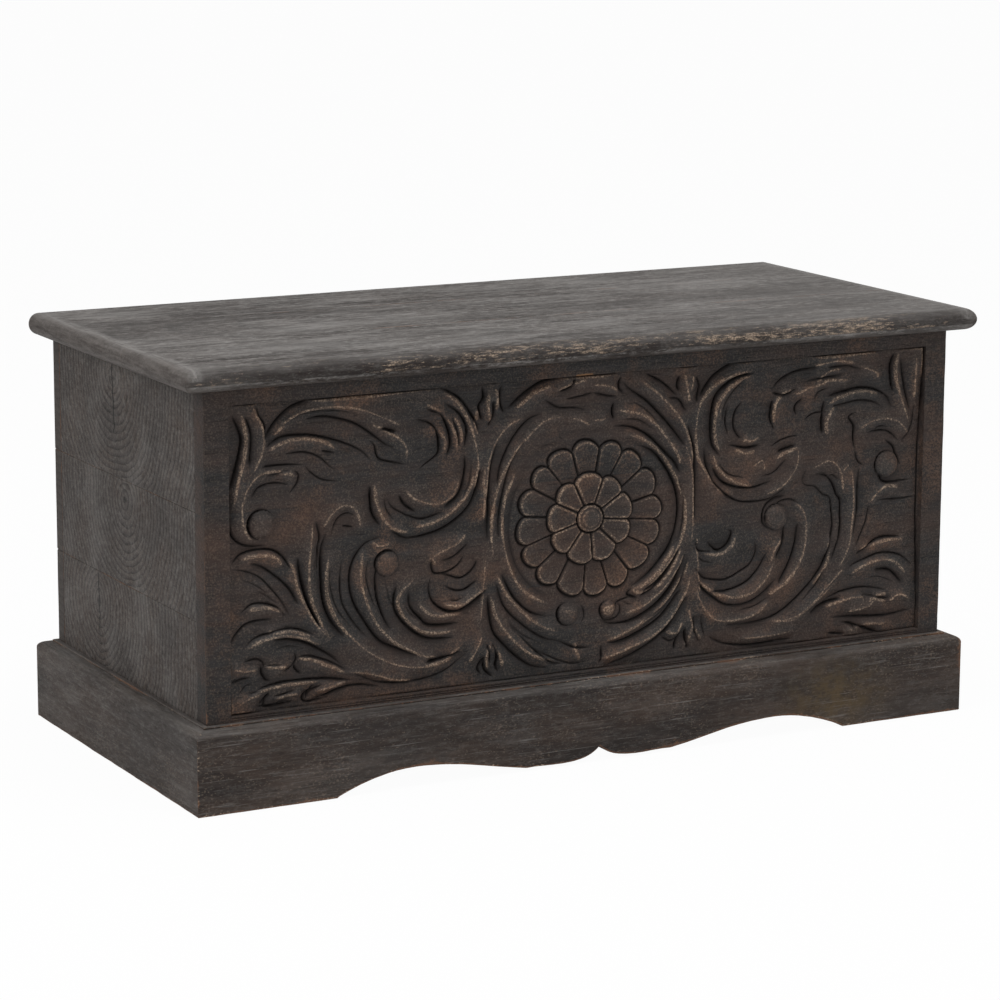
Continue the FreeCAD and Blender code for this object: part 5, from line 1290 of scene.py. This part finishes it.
def lid_board(node, seed, front_nose, back_radius):
    """A board of the lid: half-round ends, and a half-round front edge on the first board."""
    low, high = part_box(node)
    arris = sizes().lid_arris
    round_radius = (high.z - low.z) / 2
    middle_z, flat_x = (low.z + high.z) / 2, high.x - round_radius
    top = np.linspace(-flat_x, flat_x, 90)
    turn = np.linspace(-1, 1, 13)
    if front_nose:
        steps = round_radius * (1 - np.cos(np.linspace(0, math.pi / 2, 12)))
        start = [(low.y + s, math.sqrt(max(round_radius ** 2 - (round_radius - s) ** 2, 0)))
                 for s in steps]
    else:
        start = eased(low.y, 1, arris, round_radius, (0, 0.25, 0.6, 1))
    inner = np.linspace(start[-1][0], high.y - back_radius, 24)[1:-1]
    end = eased(high.y, -1, back_radius, round_radius, (1, 0.7, 0.4, 0.15, 0))
    rows, noses, rims = [], [], []
    for y, half in start + [(y, round_radius) for y in inner] + end:
        bend = math.asin(min(half / round_radius, 1))
        arc = [(round_radius * math.cos(t * bend), round_radius * math.sin(t * bend)) for t in turn]
        loop = [(x, half) for x in top] + [(flat_x + out, -up) for out, up in arc]
        loop += [(x, -half) for x in top[::-1]] + [(-flat_x - out, up) for out, up in arc]
        rows.append([(x, y, middle_z + z) for x, z in loop])
        forward = max((low.y + round_radius - y) / round_radius, 0) if front_nose else 0
        noses.append([forward] * len(loop))
        rims.append([min(abs(high.y - y), FAR_AWAY if front_nose else abs(y - low.y))] * len(loop))
    points = np.array(rows)
    nose = np.clip(np.array(noses), 0, 1)
    dent = LID_DENT * nose * (1 + waves(points, 0.13, int(seed))) * 0.5
    past_flat = np.abs(points[..., 0]) - flat_x
    end_strip = np.exp(-((past_flat - 1.5 * MM) / LID_STRIP) ** 2)
    core = np.clip(points, (-flat_x, low.y + round_radius, middle_z), (flat_x, high.y, middle_z))
    inward = points - core
    points = points - inward / round_radius * dent[..., None]
    past_flat = np.abs(points[..., 0]) - flat_x
    shell = Shell()
    numbers = shell.grid(points, {"nose": np.where(points[..., 2] > middle_z - 0.004, nose, 0),
                                  "strip": np.where(points[..., 2] > middle_z, end_strip, 0),
                                  "end": np.clip(past_flat / (3 * MM), 0, 1),
                                  "rim": np.array(rims)}, flip=True)
    for a, b in zip(numbers[:-1], numbers[1:]):
        shell.face((a[-1], a[0], b[0], b[-1]))
    shell.face(numbers[-1])
    if not front_nose:
        shell.face(numbers[0][::-1])
    return shell.object("worn_" + node, seed=seed)


class CHEST_OT_lid(bpy.types.Operator):
    """Makes the lid's three boards with their half-round edges, and the battens under them"""
    bl_idname = "chest.lid"
    bl_label = "Lid"

    def execute(self, context):
        arris = sizes().lid_arris
        for node, seed, nose, back in (("lid_board_front", 41, True, arris),
                                       ("lid_board_middle", 42, False, arris),
                                       ("lid_board_back", 43, False, LID_BACK_RADIUS)):
            dress(lid_board(node, seed, nose, back), "lid", "lid_wood", node)
        for seed, node in enumerate(("lid_batten_left", "lid_batten_right"), 45):
            fit("eased", node, "lid", "side_wood", sizes().inner_arris, seed)
        return {"FINISHED"}


# The plinth's boards: their thickness, then their moulding's ledge, lip and where it meets the face
PLINTH_THICK = FRONT_LOW.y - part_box("plinth_front")[0].y
LEDGE, LIP_DOWN, FACE_DOWN = 5 * MM, 2 * MM, 9.5 * MM


def plinth_section(foot, arris):
    """Loop of a plinth board's section: distance out, height, and distance from its worn edges."""
    top, lip, face, ledge = PLINTH_TOP, PLINTH_TOP - LIP_DOWN, PLINTH_TOP - FACE_DOWN, LEDGE
    thick = PLINTH_THICK
    loop = [(0, foot + arris, FAR_AWAY), (0, top, FAR_AWAY), (ledge - 0.7 * MM, top, 0.002),
            (ledge, top - 0.6 * MM, 0)]
    loop.append((ledge, lip, 0.001))
    for angle in np.linspace(0, math.pi / 2, 9)[1:]:
        loop.append((ledge + (thick - ledge) * math.sin(angle), face + (lip - face) * math.cos(angle),
                     0.001 + 0.008 * math.sin(angle)))
    tall = face - foot - arris
    for share in (0.03, 0.08, 0.2, 0.4, 0.6, 0.75, 0.85, 0.92, 0.97):
        loop.append((thick, face - tall * share, min(tall * (1 - share), tall * share + 0.004) + arris))
    for angle in np.linspace(0, math.pi / 2, 5):
        loop.append((thick - arris * (1 - math.cos(angle)), foot + arris * (1 - math.sin(angle)), 0))
    loop += [(arris, foot, 0.003), (arris * 0.3, foot + arris * 0.3, FAR_AWAY)]
    return loop


def plinth_board(node, seed, place, half_inner, feet):
    """A moulded board mitred at both ends; place turns (along, out, up) into a point."""
    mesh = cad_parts[node].data
    tree = BVHTree.FromPolygons([v.co for v in mesh.vertices], [p.vertices for p in mesh.polygons])
    half_outer = half_inner + PLINTH_THICK

    def mitred(s, out):
        """How far along s lies at this distance out: drawn in beyond the feet, to the mitre."""
        if abs(s) < feet:
            return s
        return math.copysign(feet + (abs(s) - feet) * (half_inner + out - feet) / (half_outer - feet), s)

    rows = []
    for s in graded(-half_outer, half_outer, 1 * MM, 2.5 * MM):
        within = PLINTH_THICK * 0.6
        hit = tree.ray_cast(Vector(place(mitred(s, within), within, -0.01)), Vector((0, 0, 1)))[0]
        foot = hit.z if hit else 0.0
        spot = np.array(place(s, PLINTH_THICK, foot))
        arris = sizes().plinth_arris * (1 + 0.5 * float(waves(spot[None], 0.07, seed)[0]))
        rows.append([(*place(mitred(s, out), out, z), min(rim, half_outer - abs(s)))
                     for out, z, rim in plinth_section(foot, arris)])
    data = np.array(rows)
    shell = Shell()
    numbers = shell.grid(np.concatenate([data[..., :3], data[:, :1, :3]], 1),
                         {"rim": np.concatenate([data[..., 3], data[:, :1, 3]], 1)})
    shell.face(numbers[0][:-1])
    shell.face(numbers[-1][:-1][::-1])
    return shell.object("worn_" + node, seed=seed)


class CHEST_OT_plinth(bpy.types.Operator):
    """Makes the moulded plinth with its lobed apron, and the glue blocks behind its corners"""
    bl_idname = "chest.plinth"
    bl_label = "Plinth"

    def execute(self, context):
        depth = -BODY_FACE
        runs = (("plinth_front", 51, lambda s, out, z: (s, -depth - out, z), BODY_HALF, "plinth_wood"),
                ("plinth_back", 52, lambda s, out, z: (-s, depth + out, z), BODY_HALF, "plinth_wood"),
                ("plinth_left", 53, lambda s, out, z: (-BODY_HALF - out, -s, z), depth, "plinth_side_wood"),
                ("plinth_right", 54, lambda s, out, z: (BODY_HALF + out, s, z), depth, "plinth_side_wood"))
        for node, seed, place, half, finish in runs:
            made = plinth_board(node, seed, place, half, half * 0.8)
            dress(made, "case", finish, node)
        for seed, corner in enumerate(("front_left", "front_right", "back_left", "back_right"), 55):
            fit("eased", "corner_block_" + corner, "case", "inner_wood",
                sizes().inner_arris, seed)
        return {"FINISHED"}


# The rounding of the dowels' ends
DOWEL_ARRIS = 0.4 * MM


class CHEST_OT_inner_woodwork(bpy.types.Operator):
    """Lays the floor boards on their cleats and finishes the dowels"""
    bl_idname = "chest.inner_woodwork"
    bl_label = "Floor, cleats and dowels"

    def execute(self, context):
        pieces = [(f"floor_board_{place}", "inner_wood") for place in ("front", "middle", "back")]
        pieces += [(f"floor_cleat_{place}", "inner_wood") for place in ("front", "back")]
        pieces += [(f"floor_cleat_{place}", "inner_wood_deep") for place in ("left", "right")]
        for seed, (node, finish) in enumerate(pieces, 60):
            lay_board(node, finish, sizes().inner_arris, 0.04, seed)
        for seed, node in enumerate(("front_dowels", "back_dowels"), 70):
            fit("eased", node, "case", "inner_wood_deep", DOWEL_ARRIS, seed)
        return {"FINISHED"}


def turned(shell, foot, direction, profile, count=32):
    """Adds a turned solid: profile rows are distance along the direction, then radius."""
    axis = Vector(direction).normalized()
    one = axis.orthogonal().normalized()
    two = axis.cross(one)
    angles = np.linspace(0, FULL_TURN, count + 1)
    rows = [[Vector(foot) + axis * d + (one * math.cos(a) + two * math.sin(a)) * r for a in angles]
            for d, r in profile]
    shell.grid(np.array(rows))


def screw(shell, points):
    """A countersunk screw with a recess in its head, in the place of one CAD solid."""
    low, high = points.min(0), points.max(0)
    axis = int(np.argmax(high - low))
    middle = (low + high) / 2
    flat = [i for i in range(3) if i != axis]
    ends = []
    for end in (low[axis], high[axis]):
        near = points[np.abs(points[:, axis] - end) < 0.2 * MM]
        ends.append(np.linalg.norm(near[:, flat] - middle[flat], axis=1).max() if len(near) else 0)
    head = 0 if ends[0] > ends[1] else 1
    direction = np.zeros(3)
    direction[axis] = 1 if head == 0 else -1
    foot = middle.copy()
    foot[axis] = (low, high)[head][axis]
    radius, length = max(ends), high[axis] - low[axis]
    shank = radius * 0.48
    turned(shell, foot, direction, [(0.5 * MM, 0), (0.5 * MM, radius * 0.2), (0.1 * MM, radius * 0.24),
                                    (0, radius * 0.95), (0.25 * MM, radius), (radius * 0.55, shank)])
    threads, pitch = [], 1.3 * MM
    start = radius * 0.55
    count = max(2, int((length - start - shank) / pitch))
    for n in range(count):
        threads += [(start + n * pitch, shank * 0.78), (start + (n + 0.5) * pitch, shank)]
    turned(shell, foot, direction, threads + [(length - shank * 0.6, shank * 0.7), (length, 0)], 16)


class CHEST_OT_screws(bpy.types.Operator):
    """Drives the screws of the hinges, battens, cleats and stay"""
    bl_idname = "chest.screws"
    bl_label = "Screws"

    def execute(self, context):
        for node, body in (("batten_screws", "lid"), ("hinge_lid_screws", "lid"), ("stay_screws", "lid"),
                           ("hinge_case_screws", "case"), ("cleat_screws", "case")):
            shell = Shell()
            for points in solids(node):
                screw(shell, points)
            dress(shell.object("slotted_" + node), body, "screw_steel", node)
        return {"FINISHED"}


class CHEST_OT_hinges(bpy.types.Operator):
    """Fits the two butt hinges, their leaves and pins"""
    bl_idname = "chest.hinges"
    bl_label = "Hinges"

    def execute(self, context):
        for side in ("left", "right"):
            for body in ("case", "lid"):
                fit("filed", f"hinge_{body}_leaf_{side}", body, "hinge_brass",
                    sizes().metal_arris)
            node = f"hinge_pin_{side}"
            low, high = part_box(node)
            middle, radius = (low + high) / 2, (high.z - low.z) / 2
            shell = Shell()
            length = high.x - low.x
            end = [(0, 0), (0.1 * MM, radius * 0.6), (0.5 * MM, radius * 0.95), (1 * MM, radius),
                   (1.2 * MM, radius * 0.72)]
            turned(shell, (low.x, middle.y, middle.z), (1, 0, 0),
                   end + [(length - along, thick) for along, thick in reversed(end)])
            dress(shell.object("turned_" + node), "case", "hinge_brass", node)
        return {"FINISHED"}


class CHEST_OT_stay(bpy.types.Operator):
    """Fits the slotted lid stay, its bracket, rivet and stud"""
    bl_idname = "chest.stay"
    bl_label = "Lid stay"

    def execute(self, context):
        for node, body in (("stay_bar", "stay"), ("stay_bracket", "lid"), ("stay_rivet", "lid"),
                           ("stay_stud", "case")):
            fit("filed", node, body, "stay_steel", sizes().metal_arris, crease=30)
        return {"FINISHED"}


def area_light(name, place, target, width, power):
    data = bpy.data.lights.new(name, "AREA")
    data.shape, data.size, data.energy = "SQUARE", width, power
    lamp = bpy.data.objects.new(name, data)
    bpy.context.scene.collection.objects.link(lamp)
    lamp.location = place
    lamp.rotation_euler = (Vector(target) - Vector(place)).to_track_quat("-Z", "Y").to_euler()


class CHEST_OT_stage(bpy.types.Operator):
    """Sets the pale floor, the soft light and the camera"""
    bl_idname = "chest.stage"
    bl_label = "Stage"

    def execute(self, context):
        scene = context.scene
        scene.view_settings.view_transform = "Standard"
        world = bpy.data.worlds.new("pale_world")
        scene.world = world
        world.use_nodes = True
        n = Nodes(world.node_tree)
        back = world.node_tree.nodes["Background"]
        path = n.add("ShaderNodeLightPath").outputs
        seen = n.math("MAXIMUM", path["Is Camera Ray"], path["Is Transmission Ray"])
        strength = n.math("MULTIPLY_ADD", seen, 1 - WORLD_STRENGTH, WORLD_STRENGTH)
        back.inputs["Color"].default_value = (1, 1, 1, 1)
        n.tree.links.new(strength, back.inputs["Strength"])

        shell = Shell()
        spots = np.linspace(-1, 1, 9) * FLOOR_HALF
        shell.grid(np.array([[(x, y, 0) for x in spots] for y in spots], float))
        floor = shell.object("pale_floor", weld=False)
        finish, n, shader = new_material("pale_floor", Roughness=0.9)
        shader.inputs["Base Color"].default_value = (0.9, 0.9, 0.9, 1)
        glow = n.add("ShaderNodeEmission", {"Color": (1, 1, 1, 1), "Strength": 1.0})
        path = n.add("ShaderNodeLightPath").outputs
        share = n.times(path["Is Camera Ray"], FLOOR_GLOW)
        blend = n.add("ShaderNodeMixShader", {0: share, 1: shader.outputs[0], 2: glow.outputs[0]})
        n.tree.links.new(blend.outputs[0], finish.node_tree.nodes["Material Output"].inputs["Surface"])
        floor.data.materials.append(finish)

        for name, place, target, width, power in LAMPS:
            area_light(name, place, target, width, power)

        data = bpy.data.cameras.new("camera")
        camera = bpy.data.objects.new("camera", data)
        scene.collection.objects.link(camera)
        scene.camera = camera
        data.sensor_width = SENSOR_WIDTH
        data.lens = CAMERA_FOCAL_PIXELS / IMAGE_WIDTH * SENSOR_WIDTH
        data.clip_start, data.clip_end = 0.1, 200
        yaw, pitch, roll = CAMERA_TURN
        ahead = Vector((math.sin(yaw) * math.cos(pitch), math.cos(yaw) * math.cos(pitch),
                        -math.sin(pitch)))
        right = Vector((math.cos(yaw), -math.sin(yaw), 0))
        up = right.cross(ahead)
        right, up = (right * math.cos(roll) + up * math.sin(roll),
                     up * math.cos(roll) - right * math.sin(roll))
        turn = Matrix((right, up, -ahead)).transposed().to_4x4()
        camera.matrix_world = Matrix.Translation(CAMERA_PLACE) @ turn
        return {"FINISHED"}


class CHEST_PT_panel(bpy.types.Panel):
    """Lists the chest's pieces, sizes and colours"""
    bl_label = "Carved chest"
    bl_idname = "CHEST_PT_panel"
    bl_space_type = "VIEW_3D"
    bl_region_type = "UI"
    bl_category = "Chest"

    def draw(self, context):
        for maker in OPERATORS:
            self.layout.operator(maker.bl_idname)
        for group in (context.scene.chest_sizes, context.scene.chest_colours):
            box = self.layout.box()
            for name in group.__annotations__:
                box.prop(group, name)


OPERATORS = (CHEST_OT_carved_front, CHEST_OT_side_boards, CHEST_OT_back_boards, CHEST_OT_lid,
             CHEST_OT_plinth, CHEST_OT_inner_woodwork, CHEST_OT_hinges, CHEST_OT_stay,
             CHEST_OT_screws, CHEST_OT_stage)
CLASSES = (ChestSizes, ChestColours, *OPERATORS, CHEST_PT_panel)


def register():
    for each in CLASSES:
        bpy.utils.register_class(each)
    bpy.types.Scene.chest_sizes = PointerProperty(type=ChestSizes)
    bpy.types.Scene.chest_colours = PointerProperty(type=ChestColours)


def unregister():
    del bpy.types.Scene.chest_sizes, bpy.types.Scene.chest_colours
    for each in reversed(CLASSES):
        bpy.utils.unregister_class(each)


def main():
    register()
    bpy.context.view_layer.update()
    bpy.ops.chest.carved_front()
    bpy.ops.chest.side_boards()
    bpy.ops.chest.back_boards()
    bpy.ops.chest.lid()
    bpy.ops.chest.plinth()
    bpy.ops.chest.inner_woodwork()
    bpy.ops.chest.hinges()
    bpy.ops.chest.stay()
    bpy.ops.chest.screws()
    bpy.ops.chest.stage()


if __name__ == "__main__":
    main()
